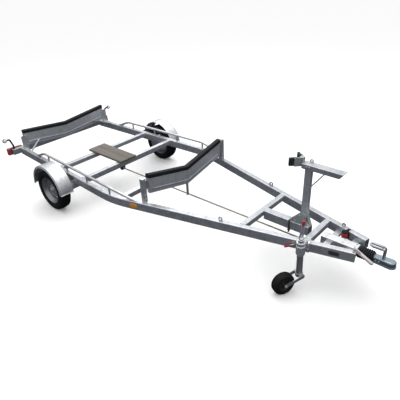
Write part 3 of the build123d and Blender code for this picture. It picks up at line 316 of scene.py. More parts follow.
def turned(name, outline, centre, axis, steps, angle=math.tau, from_way=None):
    """Turned piece: an outline of (radius, distance along the axis), drawn beside the axis and spun round it."""
    middle, along = Vector(centre), Vector(axis).normalized()
    beside = Vector(from_way) if from_way else along.orthogonal().normalized()
    line = drawn(name, [middle + beside * radius + along * far for radius, far in outline])
    bpy.ops.mesh.select_all(action="SELECT")
    bpy.ops.mesh.spin(steps=steps, angle=angle, center=middle, axis=along)
    bpy.ops.mesh.select_all(action="SELECT")
    bpy.ops.mesh.remove_doubles(threshold=0.00002)
    bpy.ops.mesh.normals_make_consistent(inside=False)
    done()
    return line


def painted(name, colour, worn, rough, metal):
    """Sprayed paint: slight orange peel, dust in patches and small chips."""
    finish, shader, place = new_finish(name)
    dust = place.noise(11.0, 5.0)
    chips = (place.noise(90.0, 5.0) - 0.62) * 6.0
    shade = ((dust - 0.45) * 1.1 + chips * 0.3).held()
    place.feed(shader, {
        "Base Color": shade.mix(colour, worn),
        "Roughness": shade * 0.25 + rough,
        "Metallic": metal,
        "Normal": dented(place, place.noise(420.0), 0.08, 0.0006),
    })
    return finish


wheel_silver = painted("wheel_silver", (0.27, 0.28, 0.3, 1), (0.16, 0.16, 0.165, 1), 0.28, 0.6)
drum_black = painted("drum_black", (0.035, 0.036, 0.038, 1), (0.11, 0.09, 0.07, 1), 0.5, 0.1)
# Rim and disc outline, in millimetres: radius, and distance out from the wheel's middle plane
RIM_OUTLINE = (
    (175.5, 65.5), (170, 66), (164, 61), (159.5, 48), (154, 36), (147, 24), (144, 17), (136, 20), (120, 29),
    (102, 33), (86, 29), (74, 19), (66, 16), (34, 16), (34, 11), (68, 11), (77, 14.5), (88, 24), (102, 28),
    (119, 24), (135, 14.5), (144, 8), (147, -8), (154.5, -30), (159, -50), (164, -61), (170, -66), (175.5, -65.5),
    (175.5, -60.5), (165, -59.5), (164.5, -40), (158, -20), (155, 18), (164.5, 40), (165, 59.5), (175.5, 60.5),
    (175.5, 65.5),
)
CAP_OUTLINE = ((0, 50), (24, 50), (30, 48), (33, 43), (33, 21), (37.5, 19), (37.5, 12), (0, 12))
DRUM_OUTLINE = ((16.1, -110), (98, -110), (104, -106), (104, -62), (100, -58), (100, -46), (95, -40), (60, -40),
                (58, -38), (58, 10.5), (16.1, 10.5), (16.1, -110))


def metres(outline):
    return [(radius / 1000, far / 1000) for radius, far in outline]


for side_name, side in SIDES:
    body = f"{side_name}_road_wheel"
    hub = Vector((WHEEL_AT[0], side * WHEEL_AT[1], WHEEL_AT[2]))
    out = Vector((0, side, 0))
    rim = turned(f"{side_name}_rim", metres(RIM_OUTLINE), hub, out, 96)
    cutters = []
    for count in range(8):
        bearing = math.tau * count / 8
        at = hub + Vector((math.cos(bearing), 0, math.sin(bearing))) * 0.1095
        bpy.ops.object.select_all(action="DESELECT")
        bpy.ops.mesh.primitive_cylinder_add(vertices=28, radius=0.0125, depth=0.08, location=at,
                                            rotation=(math.pi / 2, 0, 0))
        bpy.ops.object.transform_apply(location=True, rotation=True)
        cutters.append(bpy.context.object)
    cutter = joined("vent_cutter", cutters)
    alone(rim)
    cut = rim.modifiers.new("vents", "BOOLEAN")
    cut.operation = "DIFFERENCE"
    cut.solver = "EXACT"
    cut.object = cutter
    bpy.ops.object.modifier_apply(modifier=cut.name)
    bpy.data.objects.remove(cutter)
    kept(rim, wheel_silver, body)
    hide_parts(f"{side_name}_wheel")
    kept(turned(f"{side_name}_hub_cap", metres(CAP_OUTLINE), hub, out, 48), bolt_zinc, body)
    kept(turned(f"{side_name}_drum", metres(DRUM_OUTLINE), hub, out, 72), drum_black, body)
    wheel_bolts = []
    for count in range(4):
        bearing = math.tau * (count + 0.5) / 4
        at = hub + Vector((math.cos(bearing), 0, math.sin(bearing))) * 0.05 + out * 0.016
        wheel_bolts.append((at, out))
    bolts(f"{side_name}_wheel_bolts", 0.0095, wheel_bolts, bolt_zinc, body)
    valve_at = hub + Vector((0.1475, 0, 0)) + out * 0.026
    valve_line = ((0, 0), (0.0052, 0), (0.0048, 0.012), (0.0034, 0.016), (0.0034, 0.027), (0.0026, 0.0285),
                  (0, 0.0285))
    valve = turned(f"{side_name}_valve", valve_line, valve_at, out * 0.96 + Vector((-0.28, 0, 0)), 20)
    kept(valve, drum_black, body)

# Tyres: moulded black rubber, four grooves round the tread, slots across the shoulders and a rib on each flank.
# They are a road size, worn a little grey by dust.


def rubber(name, colour, dusty, rough, grain):
    """Moulded rubber: dull, with dust in its pores."""
    finish, shader, place = new_finish(name)
    dust = (place.noise(6.0, 5.0) * 0.7 + place.noise(55.0, 4.0) * 0.5 - 0.42).held()
    place.feed(shader, {
        "Base Color": dust.mix(colour, dusty),
        "Roughness": dust * 0.3 + rough,
        "Specular IOR Level": 0.22,
        "Normal": dented(place, place.noise(grain, 4.0), 0.2, 0.0008),
    })
    return finish


tyre_rubber = rubber("tyre_rubber", (0.005, 0.005, 0.0055, 1), (0.022, 0.0215, 0.021, 1), 0.6, 300.0)
# Half of the outline, in millimetres, from the bead to the middle of the tread
TYRE_HALF = (
    (165.3, 59.5), (179, 59.8), (184, 64), (190, 68.5), (197, 72), (198.5, 74.2), (202, 75), (204, 74.6),
    (212, 76.4), (224, 77.5), (236, 76.6), (246, 74.2), (254, 70.6), (260.5, 66), (265, 60.5), (267.2, 56),
    (269, 47), (269.9, 38), (263.4, 37), (263.4, 32.5), (271, 31.5), (272.6, 21), (273.2, 14), (266.6, 13),
    (266.6, 8.5), (273.8, 7.5), (274, 0),
)
tyre_outline = metres([(radius, -far) for radius, far in TYRE_HALF] + list(reversed(TYRE_HALF))[1:])
tyre_outline.append(tyre_outline[0])
TREAD_STEPS = 168
# Rows of slots: from and to, out from the tread's middle, least radius, which step of four, margin and depth
SLOT_ROWS = ((0.0375, 0.066, 0.258, 0, 0.0016, 0.0055), (0.014, 0.0315, 0.2705, 2, 0.0028, 0.0045))
for side_name, side in SIDES:
    hub = Vector((WHEEL_AT[0], side * WHEEL_AT[1], WHEEL_AT[2]))
    tyre = turned(f"{side_name}_road_tyre", tyre_outline, hub, (0, 1, 0), TREAD_STEPS)
    for near, far, least, phase, margin, depth in SLOT_ROWS:

        def in_slot(at, normal):
            out = abs(at.y - hub.y)
            reach = math.hypot(at.x - hub.x, at.z - hub.z)
            turn = math.atan2(at.z - hub.z, at.x - hub.x) / math.tau * TREAD_STEPS
            return near < out < far and reach > least and math.floor(turn) % 4 == phase

        choose(tyre, "FACE", in_slot)
        bpy.ops.mesh.inset(thickness=margin, depth=-depth, use_individual=False)
        done()
    kept(tyre, tyre_rubber, f"{side_name}_road_wheel")
    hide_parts(f"{side_name}_tyre")

# Mudguards: thin zinc-coated sheet rolled to an arch, its outer edge turned into a bead, on two flat stays each.
# The sheet is smoother and whiter than the dipped frame.
guard_zinc = zinc_skin("guard_zinc", (0.78, 0.79, 0.8, 1), (0.42, 0.44, 0.46, 1), 0.7, 110.0)
ARCH_AT = (1.195, 0, -0.164)
GUARD_OUT, GUARD_R = 1.0618, 0.318
# Section of the sheet, in millimetres: radius, and distance inboard from the outer edge
GUARD_SECTION = (
    (294, 9.5), (289, 9), (285.5, 6.5), (284.5, 3), (286, -0.5), (290, -2), (294.5, -1.5), (297, 1), (299.5, 3),
    (305, 3.2), (310, 2.2), (314.4, 3), (317, 6), (318, 11), (318, 60), (318, 110), (318, 160),
    (317.6, 176), (316, 182), (312, 185), (306, 185),
)
for side_name, side in SIDES:
    section = [(radius / 1000, side * (GUARD_OUT - far / 1000)) for radius, far in GUARD_SECTION]
    guard = turned(f"{side_name}_guard", section, ARCH_AT, (0, 1, 0), 64, math.pi, (1, 0, 0))
    crown = max(guard.data.polygons, key=lambda face: face.center.z)
    if crown.normal.z < 0:
        alone(guard)
        bpy.ops.object.mode_set(mode="EDIT")
        bpy.ops.mesh.select_all(action="SELECT")
        bpy.ops.mesh.flip_normals()
        done()
    sheet = guard.modifiers.new("sheet", "SOLIDIFY")
    sheet.thickness = 0.002
    sheet.offset = -1
    alone(guard)
    bpy.ops.object.modifier_apply(modifier=sheet.name)
    kept(guard, guard_zinc, "chassis")
    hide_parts(f"{side_name}_mudguard")
    # Rolled edges across the arch's two ends
    rolls = []
    for end in (-1, 1):
        roll_line = ((0, 0), (0.004, 0), (0.0062, 0.0025), (0.0062, 0.1765), (0.004, 0.179), (0, 0.179))
        at = (ARCH_AT[0] + end * 0.3165, side * (GUARD_OUT - 0.003), ARCH_AT[2] + 0.002)
        rolls.append(turned("roll", roll_line, at, (0, -side, 0), 20))
    kept(joined(f"{side_name}_guard_rolls", rolls), guard_zinc, "chassis")


def slab(name, low, high, rounding, segments=2):
    """Block between two corners, all its edges rounded."""
    low, high = Vector(low), Vector(high)
    bpy.ops.object.select_all(action="DESELECT")
    bpy.ops.mesh.primitive_cube_add(size=1, location=(low + high) / 2, scale=high - low)
    block = named(bpy.context.object, name)
    bpy.ops.object.transform_apply(location=True, scale=True)
    bpy.ops.object.mode_set(mode="EDIT")
    bpy.ops.mesh.select_all(action="SELECT")
    bpy.ops.mesh.bevel(offset=rounding, segments=segments, affect="EDGES")
    done()
    return block


STAY_DX, STAY_Z = 0.286, -0.047
ROOF_DX = 0.274
stays, stay_bolts = [], []
for side_name, side in SIDES:
    for end in (-1, 1):
        x = ARCH_AT[0] + end * STAY_DX
        rail_y = rail_half(x) + RAIL_HALF_W
        low_y, high_y = sorted((side * rail_y, side * (GUARD_OUT - 0.004)))
        stays.append(slab("stay", (x - 0.003, low_y, STAY_Z - 0.015),
                          (x + 0.003, high_y, STAY_Z + 0.015), 0.0012))
        low_y, high_y = sorted((side * rail_y, side * (rail_y + 0.005)))
        stays.append(slab("stay_foot", (x - 0.03, low_y, STAY_Z - 0.02),
                          (x + 0.03, high_y, STAY_Z + 0.02), 0.0012))
        for along in (-0.018, 0.018):
            stay_bolts.append(((x + along, side * (rail_y + 0.005), STAY_Z), (0, side, 0)))
        way = Vector((end * ROOF_DX, 0, math.sqrt(GUARD_R ** 2 - ROOF_DX ** 2)))
        for inboard in (0.045, 0.16):
            at = Vector(ARCH_AT) + way + Vector((0, side * (GUARD_OUT - inboard), 0))
            stay_bolts.append((at, way.normalized()))
kept(joined("guard_stays", stays), frame_zinc, "chassis")
bolts("guard_bolts", 0.0065, stay_bolts, bolt_zinc)

# Keel bunks: folded sheet beams bent to a V, dipped, with a grooved rubber strip pushed on along the top.
# Brackets and flat struts hold the rear one, posts with tabs the front one, all bolted through.
bunk_zinc = zinc_skin("bunk_zinc", (0.54, 0.57, 0.6, 1), (0.38, 0.4, 0.43, 1), 0.52, 52.0, ribs=30.0)
dress(bunk_zinc, "rear_bunk", "front_bunk")
dress(tube_zinc, "rear_bunk_brackets", "front_bunk_posts")
strip_rubber = rubber("strip_rubber", (0.009, 0.01, 0.012, 1), (0.03, 0.032, 0.034, 1), 0.5, 180.0)
STRIP_HALF_W, STRIP_H = 0.029, 0.046
GROOVE_FROM, GROOVE_TO = 0.0035, 0.0075
SIDE_GROOVE_FROM, SIDE_GROOVE_TO = 0.016, 0.022
BEAD_DOWN, BEAD_SHORT = 0.176, 0.045


def bent_to_v(bar, x, drop):
    """Cuts a straight bar across its middle and lowers the cut."""
    choose(bar, "FACE", lambda at, normal: True)
    bpy.ops.mesh.bisect(plane_co=(x, 0, 0), plane_no=(0, 1, 0))
    done()
    choose(bar, "VERT", lambda at, way: abs(at.y) < 0.0001)
    bpy.ops.transform.translate(value=(0, 0, -drop))
    done()


# Piece, X of the bunk, half length, height of the V's middle and of its ends over the rails
STRIP_TABLE = (
    ("rear_strip", "rear_bunk_rubber", 0.098, 0.69445, 0.205, 0.279),
    ("front_strip", "front_bunk_rubber", 2.65, 0.61157, 0.18, 0.318),
)
for name, node, x, half, mid_z, end_z in STRIP_TABLE:
    slant = math.cos(math.atan2(end_z - mid_z, half))
    deep = STRIP_H / slant
    bpy.ops.object.select_all(action="DESELECT")
    bpy.ops.mesh.primitive_cube_add(size=1, location=(x, 0, end_z - deep / 2),
                                    scale=(2 * STRIP_HALF_W, 2 * half, deep))
    strip = named(bpy.context.object, name)
    bpy.ops.object.transform_apply(location=True, scale=True)
    choose(strip, "EDGE", lambda at, way: abs(way.y) > 0.9 and at.z > end_z - 0.001)
    bpy.ops.mesh.bevel(offset=0.013, segments=5, affect="EDGES")
    for cut_x in (-GROOVE_TO, -GROOVE_FROM, GROOVE_FROM, GROOVE_TO):
        bpy.ops.mesh.select_all(action="SELECT")
        bpy.ops.mesh.bisect(plane_co=(x + cut_x, 0, 0), plane_no=(1, 0, 0))
    for cut_z in (SIDE_GROOVE_FROM, SIDE_GROOVE_TO):
        bpy.ops.mesh.select_all(action="SELECT")
        bpy.ops.mesh.bisect(plane_co=(0, 0, end_z - cut_z), plane_no=(0, 0, 1))
    done()
    choose(strip, "FACE", lambda at, normal: normal.z > 0.9 and GROOVE_FROM < abs(at.x - x) < GROOVE_TO)
    bpy.ops.mesh.inset(thickness=0.0001, depth=-0.004)
    done()
    choose(strip, "FACE",
           lambda at, normal: abs(normal.x) > 0.9 and SIDE_GROOVE_FROM < end_z - at.z < SIDE_GROOVE_TO)
    bpy.ops.mesh.inset(thickness=0.0001, depth=-0.003)
    done()
    bent_to_v(strip, x, end_z - mid_z)
    kept(strip, strip_rubber, "chassis")
    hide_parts(node)
    # Bead pressed along the beam over its lower fold
    reach = half - BEAD_SHORT
    tip_z = mid_z + (end_z - mid_z) * reach / half
    bead_z = tip_z - BEAD_DOWN / slant
    bead = slab(name.replace("strip", "bead"), (x - STRIP_HALF_W, -reach, bead_z - 0.005),
                (x + STRIP_HALF_W, reach, bead_z + 0.005), 0.004, 3)
    bent_to_v(bead, x, tip_z - mid_z)
    kept(bead, bunk_zinc, "chassis")
bunk_bolts = []
for side_name, side in SIDES:
    for up in (0.165, 0.19):
        bunk_bolts.append(((0.129, side * 0.676, up), (1, 0, 0)))
    for out in (-0.014, 0.014):
        bunk_bolts.append(((0.17, side * (rail_half(0.17) + out), 0.006), (0, 0, 1)))
    bunk_bolts.append(((2.619, side * 0.592, 0.196), (-1, 0, 0)))
    bunk_bolts.append(((2.619, side * 0.592, 0.17), (-1, 0, 0)))
    bunk_bolts.append(((2.669, side * 0.6766, 0.09), (1, 0, 0)))
    bunk_bolts.append(((2.669, side * 0.6766, 0.04), (1, 0, 0)))
bolts("bunk_bolts", 0.008, bunk_bolts, bolt_zinc)

# Plank: two weathered softwood boards laid on the cross-members to step on, screwed from underneath.
# Sun and rain have turned them grey, with darker grain and checks along their length.
wood, wood_shader, wood_place = new_finish("weathered_board")
fibre = wood_place.stretched((1.6, 34.0, 34.0)).noise(3.2, 6.0)
ring = wood_place.stretched((0.5, 9.0, 9.0)).noise(2.6, 4.0)
check = ((wood_place.stretched((2.2, 90.0, 90.0)).noise(2.0, 3.0) - 0.6) * 8.0).held()
weathered = ((fibre - 0.3) * 1.1 + (ring - 0.5) * 0.7).held()
board_tone = weathered.mix((0.165, 0.15, 0.128, 1), (0.07, 0.061, 0.052, 1))
wood_place.feed(wood_shader, {
    "Base Color": check.mix(board_tone, (0.05, 0.042, 0.035, 1)),
    "Roughness": fibre * 0.25 + 0.6,
    "Normal": dented(wood_place, fibre - check * 0.8, 0.5, 0.0016),
})
boards = []
for low_y, high_y in ((-0.204, -0.0715), (-0.0685, 0.064)):
    boards.append(slab("board", (0.95, low_y, 0), (1.65, high_y, 0.028), 0.003))
plank = kept(joined("step_boards", boards), wood, "chassis")
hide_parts("plank")

# Brake line: a drawn steel rod on the centre line, hung in an eye and hooked to a black equaliser at the axle.
# The rod is dull and yellowish from old plating. A nut locks it at each end.
rod_zinc = plated("rod_zinc", (0.28, 0.265, 0.205, 1), 0.45, (0.17, 0.155, 0.11, 1), 0.4)
equaliser_black = painted("equaliser_black", (0.03, 0.031, 0.033, 1), (0.12, 0.1, 0.08, 1), 0.5, 0.0)
dress(rod_zinc, "brake_rod")
dress(tube_zinc, "rod_hanger")
dress(equaliser_black, "equaliser")
ROD_FROM, ROD_LEN = Vector((1.422, 0, -0.213)), 3.068
ROD_RISE = 0.029
rod_nuts = []
for far, way in ((0, (1, 0, 0)), (3.067, (-1, 0, 0))):
    rod_nuts.append((ROD_FROM + Vector((far, 0, ROD_RISE * far / ROD_LEN)), way))
bolts("rod_nuts", 0.014, rod_nuts, bolt_zinc)

# Winch stand: square post on gusset plates, with a channel arm, a thin brace and a V of two plates behind.
# The plates carry rubber blocks for the bow. All of it is dipped, and bolted to the centre beam.
stand_zinc = zinc_skin("stand_zinc", (0.56, 0.6, 0.61, 1), (0.34, 0.37, 0.38, 1), 0.6, 40.0)
dress(stand_zinc, "winch_post", "arm_brace", "bow_yoke")
dress(frame_zinc, "winch_arm")
pad_rubber = rubber("pad_rubber", (0.018, 0.021, 0.02, 1), (0.07, 0.075, 0.07, 1), 0.5, 120.0)
dress(pad_rubber, "bow_pads")
stand_bolts = []
for side_name, side in SIDES:
    for x, up in ((4.15, 0.022), (4.2, 0.1), (4.25, 0.022)):
        stand_bolts.append(((x, side * 0.036, up), (0, side, 0)))
    for x in (4.222, 4.25):
        stand_bolts.append(((x, side * 0.0435, 0.633), (0, side, 0)))
bolts("stand_bolts", 0.008, stand_bolts, bolt_zinc)
band_parts = []
for side in (-1, 1):
    low_y, high_y = sorted((side * 0.041, side * 0.046))
    band_parts.append(slab("band_side", (4.085, low_y, -0.135), (4.105, high_y, 0.006), 0.0012))
band_parts.append(slab("band_top", (4.085, -0.046, 0.001), (4.105, 0.046, 0.006), 0.0012))
band_parts.append(slab("band_foot", (4.08, -0.05, -0.11), (4.11, 0.05, -0.101), 0.0015))
kept(joined("beam_band", band_parts), equaliser_black, "chassis")

# Overrun gear: a pressed housing between the rails, a draw tube in a folded rubber bellows and a cast head.
# The head takes the ball, and its handle is bent bar. Everything here is zinc plated, with a faint blue tone.
housing_zinc = plated("housing_zinc", (0.72, 0.74, 0.75, 1), 0.3, (0.5, 0.52, 0.53, 1))
head_zinc = plated("head_zinc", (0.34, 0.4, 0.44, 1), 0.22, (0.2, 0.25, 0.29, 1))
lever_zinc = plated("lever_zinc", (0.74, 0.68, 0.69, 1), 0.36, (0.5, 0.44, 0.45, 1), 0.3)
handle_zinc = plated("handle_zinc", (0.4, 0.43, 0.45, 1), 0.24, (0.27, 0.3, 0.32, 1), 0.9)
dress(housing_zinc, "overrun_housing", "draw_tube")
dress(handle_zinc, "coupling_handle")
dress(frame_zinc, "housing_saddles")
dress(head_zinc, "coupling_head")
dress(lever_zinc, "handbrake")
housing_bolts = [((x, y, -0.024), (0, 0, 1)) for x in (4.493, 4.655, 4.77) for y in (-0.026, 0.026)]
housing_bolts += [((x, side * 0.048, -0.094), (0, side, 0)) for x in (4.47, 4.62) for side in (-1, 1)]
bolts("housing_bolts", 0.0085, housing_bolts, bolt_zinc)
head_bolts = []
for x, half in ((4.974, 0.0348), (5.004, 0.0369)):
    head_bolts += [((x, side * half, -0.076), (0, side, 0)) for side in (-1, 1)]
bolts("head_bolts", 0.0075, head_bolts, bolt_zinc)
BAR_SLEEVE_LINE = ((0.0092, 0), (0.0125, 0), (0.014, 0.002), (0.014, 0.09), (0.0125, 0.092), (0.0092, 0.092),
                   (0.0092, 0))
bar_sleeves = []
for side in (-1, 1):
    bar_sleeves.append(turned("bar_sleeve", BAR_SLEEVE_LINE, (4.919, side * 0.02, 0.055), (1, 0, 0), 28))
kept(joined("handle_sleeves", bar_sleeves), handle_zinc, "chassis")
pivot_bolts = [((4.812, -0.1346, 0.028), (0, -1, 0)), ((4.812, -0.1209, 0.028), (0, 1, 0))]
bolts("lever_pivot", 0.009, pivot_bolts, bolt_zinc)
GRIP_AT = Vector((4.972, -0.12775, -0.05))
grip_run = Vector((-0.16, 0, 0.078)).normalized()
SLEEVE_LINE = ((0, -0.0165), (0.007, -0.0155), (0.0125, -0.011), (0.0155, -0.004), (0.0165, 0.004),
               (0.0162, 0.03), (0.0158, 0.07), (0.0164, 0.108), (0.0158, 0.113), (0.0135, 0.115), (0, 0.115))
kept(turned("handbrake_sleeve", SLEEVE_LINE, GRIP_AT, grip_run, 32), lever_zinc, "chassis")

bellows_rubber = rubber("bellows_rubber", (0.012, 0.012, 0.014, 1), (0.045, 0.045, 0.05, 1), 0.36, 90.0)
FOLDS, FOLD_STEPS = 7, 10
BELLOWS_REAR, BELLOWS_LEN, DRAW_Z = 4.8, 0.15, -0.072
bellows_line = [(0.0255, 0), (0.047, 0), (0.047, 0.006)]
for step in range(FOLDS * FOLD_STEPS + 1):
    wave = abs(math.sin(math.pi * step / FOLD_STEPS)) ** 0.8
    bellows_line.append((0.0455 + 0.0125 * wave, 0.008 + (BELLOWS_LEN - 0.016) * step / (FOLDS * FOLD_STEPS)))
bellows_line += [(0.047, BELLOWS_LEN - 0.006), (0.047, BELLOWS_LEN), (0.0255, BELLOWS_LEN), (0.0255, 0)]
bellows = turned("folded_bellows", bellows_line, (BELLOWS_REAR, 0, DRAW_Z), (1, 0, 0), 56)
kept(bellows, bellows_rubber, "chassis")
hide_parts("bellows")

# Jockey wheel: a plated tube in a bolted clamp on the right rail, with a folding crank on top.
# Its castor fork trails a small solid tyre on a pressed wheel. The crank's knob and the lever's grip are
# red plastic.
jockey_zinc = plated("jockey_zinc", (0.52, 0.53, 0.53, 1), 0.3, (0.36, 0.37, 0.37, 1))
clamp_zinc = plated("clamp_zinc", (0.86, 0.88, 0.9, 1), 0.2, (0.6, 0.63, 0.66, 1), 0.8)
dress(jockey_zinc, "jockey_tube", "jockey_fork")
dress(clamp_zinc, "jockey_clamp", "clamp_lever")


def plastic(name, colour, faded, rough):
    """Moulded plastic: even colour, slightly faded in patches, with a fine mould grain."""
    finish, shader, place = new_finish(name)
    fade = ((place.noise(20.0, 4.0) - 0.4) * 1.6).held()
    place.feed(shader, {
        "Base Color": fade.mix(colour, faded),
        "Roughness": fade * 0.15 + rough,
        "Normal": dented(place, place.noise(600.0), 0.1, 0.0004),
    })
    return finish


red_plastic = plastic("red_plastic", (0.36, 0.02, 0.035, 1), (0.42, 0.09, 0.1, 1), 0.34)
black_plastic = plastic("black_plastic", (0.018, 0.018, 0.02, 1), (0.04, 0.04, 0.042, 1), 0.42)
TUBE_AT = Vector((4.41086, -0.36972, -0.023))
TURN, LEAN = math.radians(65), math.radians(2)
castor_ahead = Vector((math.cos(TURN), math.sin(TURN), 0))
tube_up = Vector((0, 0, math.cos(LEAN))) - castor_ahead * math.sin(LEAN)
tube_ahead = castor_ahead * math.cos(LEAN) + Vector((0, 0, math.sin(LEAN)))


def placed(x_way, y_way, z_way, at):
    """Place with these three directions."""
    return Matrix((
        (x_way[0], y_way[0], z_way[0], at[0]),
        (x_way[1], y_way[1], z_way[1], at[1]),
        (x_way[2], y_way[2], z_way[2], at[2]),
        (0, 0, 0, 1),
    ))


tube_left = tube_up.cross(tube_ahead)
on_tube = placed(tube_ahead, tube_left, tube_up, TUBE_AT)
CAP_LINE = ((0, 0.14), (0.017, 0.14), (0.021, 0.137), (0.024, 0.132), (0.024, 0.1185), (0.0295, 0.1185),
            (0.0295, 0.112), (0.0, 0.112))
crank_cap = turned("crank_cap", CAP_LINE, (0, 0, 0), (0, 0, 1), 40)
crank_bar = slab("crank_bar", (-0.024, -0.006, 0.136), (0.024, 0.006, 0.272), 0.0035, 3)
choose(crank_bar, "VERT", lambda at, way: at.z > 0.2)
bpy.ops.transform.resize(value=(0.5, 1, 1), center_override=(0, 0, 0.25))
done()
crank_pin = disc(0.009, 0.026, 24, 0.002)
PIN_UP = 0.156
settled(crank_pin, Matrix.Translation((0, 0.013, PIN_UP)) @ Matrix.Rotation(math.pi / 2, 4, "X"))
# The crank folds on its pin and leans a little forward
at_pin = Matrix.Translation((0, 0, PIN_UP))
folded = at_pin @ Matrix.Rotation(math.radians(7), 4, "Y") @ at_pin.inverted()
settled(crank_bar, folded)
crank = joined("crank_handle", [crank_cap, crank_bar, crank_pin])
settled(crank, on_tube)
kept(crank, clamp_zinc, "jockey_leg")
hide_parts("jockey_crank")
KNOB_LINE = ((0, 0.262), (0.012, 0.262), (0.0145, 0.266), (0.0125, 0.276), (0.0135, 0.286), (0.0165, 0.3),
             (0.017, 0.308), (0.0145, 0.3145), (0.008, 0.3175), (0, 0.318))
knob = settled(turned("crank_knob", KNOB_LINE, (0, 0, 0), (0, 0, 1), 36), on_tube @ folded)
kept(knob, red_plastic, "jockey_leg")

GRIP_FROM = Vector((4.27381, -0.32567, -0.059))
GRIP_WAY = Vector((-0.8374, -0.2242, -0.4984)).normalized()
grip_line = [(0, -0.0078), (0.0088, -0.0078), (0.0105, -0.005)]
for rib in range(5):
    far = 0.002 + rib * 0.01
    grip_line += [(0.0116, far), (0.0116, far + 0.0055), (0.0104, far + 0.0065), (0.0104, far + 0.009)]
grip_line += [(0.0112, 0.053), (0.0092, 0.0565), (0.004, 0.058), (0, 0.058)]
kept(turned("lever_grip", grip_line, GRIP_FROM, GRIP_WAY, 28), red_plastic, "chassis")

COLLAR_LINE = ((0.0306, -0.052), (0.036, -0.052), (0.0375, -0.05), (0.0375, -0.0395), (0.036, -0.0365),
               (0.0306, -0.0365), (0.0306, -0.052))
collar = settled(turned("clamp_collar", COLLAR_LINE, (0, 0, 0), (0, 0, 1), 48), on_tube)
kept(collar, clamp_zinc, "chassis")
JAW_LINE = ((0.0306, 0.037), (0.0415, 0.037), (0.0425, 0.039), (0.0425, 0.052), (0.039, 0.056), (0.0385, 0.074),
            (0.042, 0.078), (0.042, 0.089), (0.04, 0.091), (0.0306, 0.091), (0.0306, 0.037))
jaw = turned("clamp_jaw", JAW_LINE, (0, 0, 0), (0, 0, 1), 48)
ears = [slab("ear", (0.034, low, 0.042), (0.072, low + 0.009, 0.086), 0.003) for low in (-0.013, 0.004)]
ear_bolt = disc(0.0065, 0.036, 6, 0.001)
settled(ear_bolt, Matrix.Translation((0.057, 0.018, 0.064)) @ Matrix.Rotation(math.pi / 2, 4, "X"))
kept(settled(joined("clamp_jaw", [jaw] + ears + [ear_bolt]), on_tube), clamp_zinc, "chassis")
NOSE_TAPER = 0.2616
rail_out = Vector((math.sin(NOSE_TAPER), -math.cos(NOSE_TAPER), 0))
rail_along = Vector((math.cos(NOSE_TAPER), math.sin(NOSE_TAPER), 0))
CLAMP_AT = Vector((4.385, -0.27312, -0.023))
clamp_face = CLAMP_AT + rail_out * 0.01
clamp_bolts = []
for along in (-0.045, 0.045):
    for up in (-0.04, 0.006):
        clamp_bolts.append((clamp_face + rail_along * along + Vector((0, 0, up)), rail_out))
strap = slab("clamp_strap", (-0.058, 0.0231, -0.06), (0.058, 0.0306, 0.014), 0.002)
on_rail = placed(rail_along, Vector((0, 0, 1)), rail_out, CLAMP_AT)
kept(settled(strap, on_rail), clamp_zinc, "chassis")
clamp_bolts += [(on_rail @ Vector((along, 0.0306, -0.03)), (0, 0, 1)) for along in (-0.04, 0.04)]
bolts("clamp_bolts", 0.009, clamp_bolts, bolt_zinc)

ROLLER_AT = on_tube @ Vector((-0.178, 0, -0.325986))
ROLLER_LINE = (
    (62.3, 37), (70, 39.6), (74.5, 41.7), (79, 41.1), (82, 42), (92, 42), (98, 41), (103.5, 37.8), (107.8, 33),
    (110.4, 28.4), (111, 26), (108.6, 24.8), (108.6, 21.4), (111.9, 20), (112.6, 12.2), (110, 11), (110, 8),
    (112.9, 6.8), (113, 0),
)
roller_outline = metres(list(ROLLER_LINE) + [(radius, -far) for radius, far in reversed(ROLLER_LINE)][1:])
roller_outline.append(roller_outline[0])
roller = turned("roller_tyre", roller_outline, ROLLER_AT, tube_left, 88)
kept(roller, tyre_rubber, "jockey_roller")
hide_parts("jockey_tyre")
NAVE_HALF = ((8.05, 37), (15, 37), (16.5, 35), (17, 22), (24, 18), (40, 16), (50, 20), (55, 32), (58, 36.4),
             (61.8, 37))
nave_outline = metres(list(NAVE_HALF) + [(radius, -far) for radius, far in reversed(NAVE_HALF)])
nave_outline.append(nave_outline[0])
nave = turned("roller_nave", nave_outline, ROLLER_AT, tube_left, 64)
kept(nave, black_plastic, "jockey_roller")
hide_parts("jockey_hub")
fork_nuts = [(ROLLER_AT + tube_left * side * 0.056, tube_left * side) for side in (-1, 1)]
bolts("fork_nuts", 0.0115, fork_nuts, bolt_zinc, "jockey_castor")

# Tail lamps: black plastic trays on the light bar's rear face, with an amber and two red lenses side by side,
# the outer one wrapped round the end. Marker lamps: rubber arms with a black ring between a clear and a red lens.


def lens(name, colour, deep, prism_scale):
    """Coloured clear plastic over small prisms."""
    finish, shader, place = new_finish(name)
    prism = place.node("ShaderNodeTexVoronoi", {"feature": "DISTANCE_TO_EDGE"},
                       {"Vector": place, "Scale": prism_scale})
    glow = (prism * 5.0).held()
    place.feed(shader, {
        "Base Color": glow.mix(deep, colour),
        "Roughness": place.noise(30.0, 4.0) * 0.14 + 0.08,
        "Coat Weight": 0.6,
        "Normal": dented(place, prism, 0.25, 0.0015),
    })
    return finish


red_lens = lens("red_lens", (0.56, 0.09, 0.1, 1), (0.26, 0.02, 0.026, 1), 130.0)
amber_lens = lens("amber_lens", (0.92, 0.36, 0.03, 1), (0.5, 0.13, 0.01, 1), 130.0)
clear_lens = lens("clear_lens", (0.85, 0.87, 0.88, 1), (0.6, 0.63, 0.66, 1), 160.0)
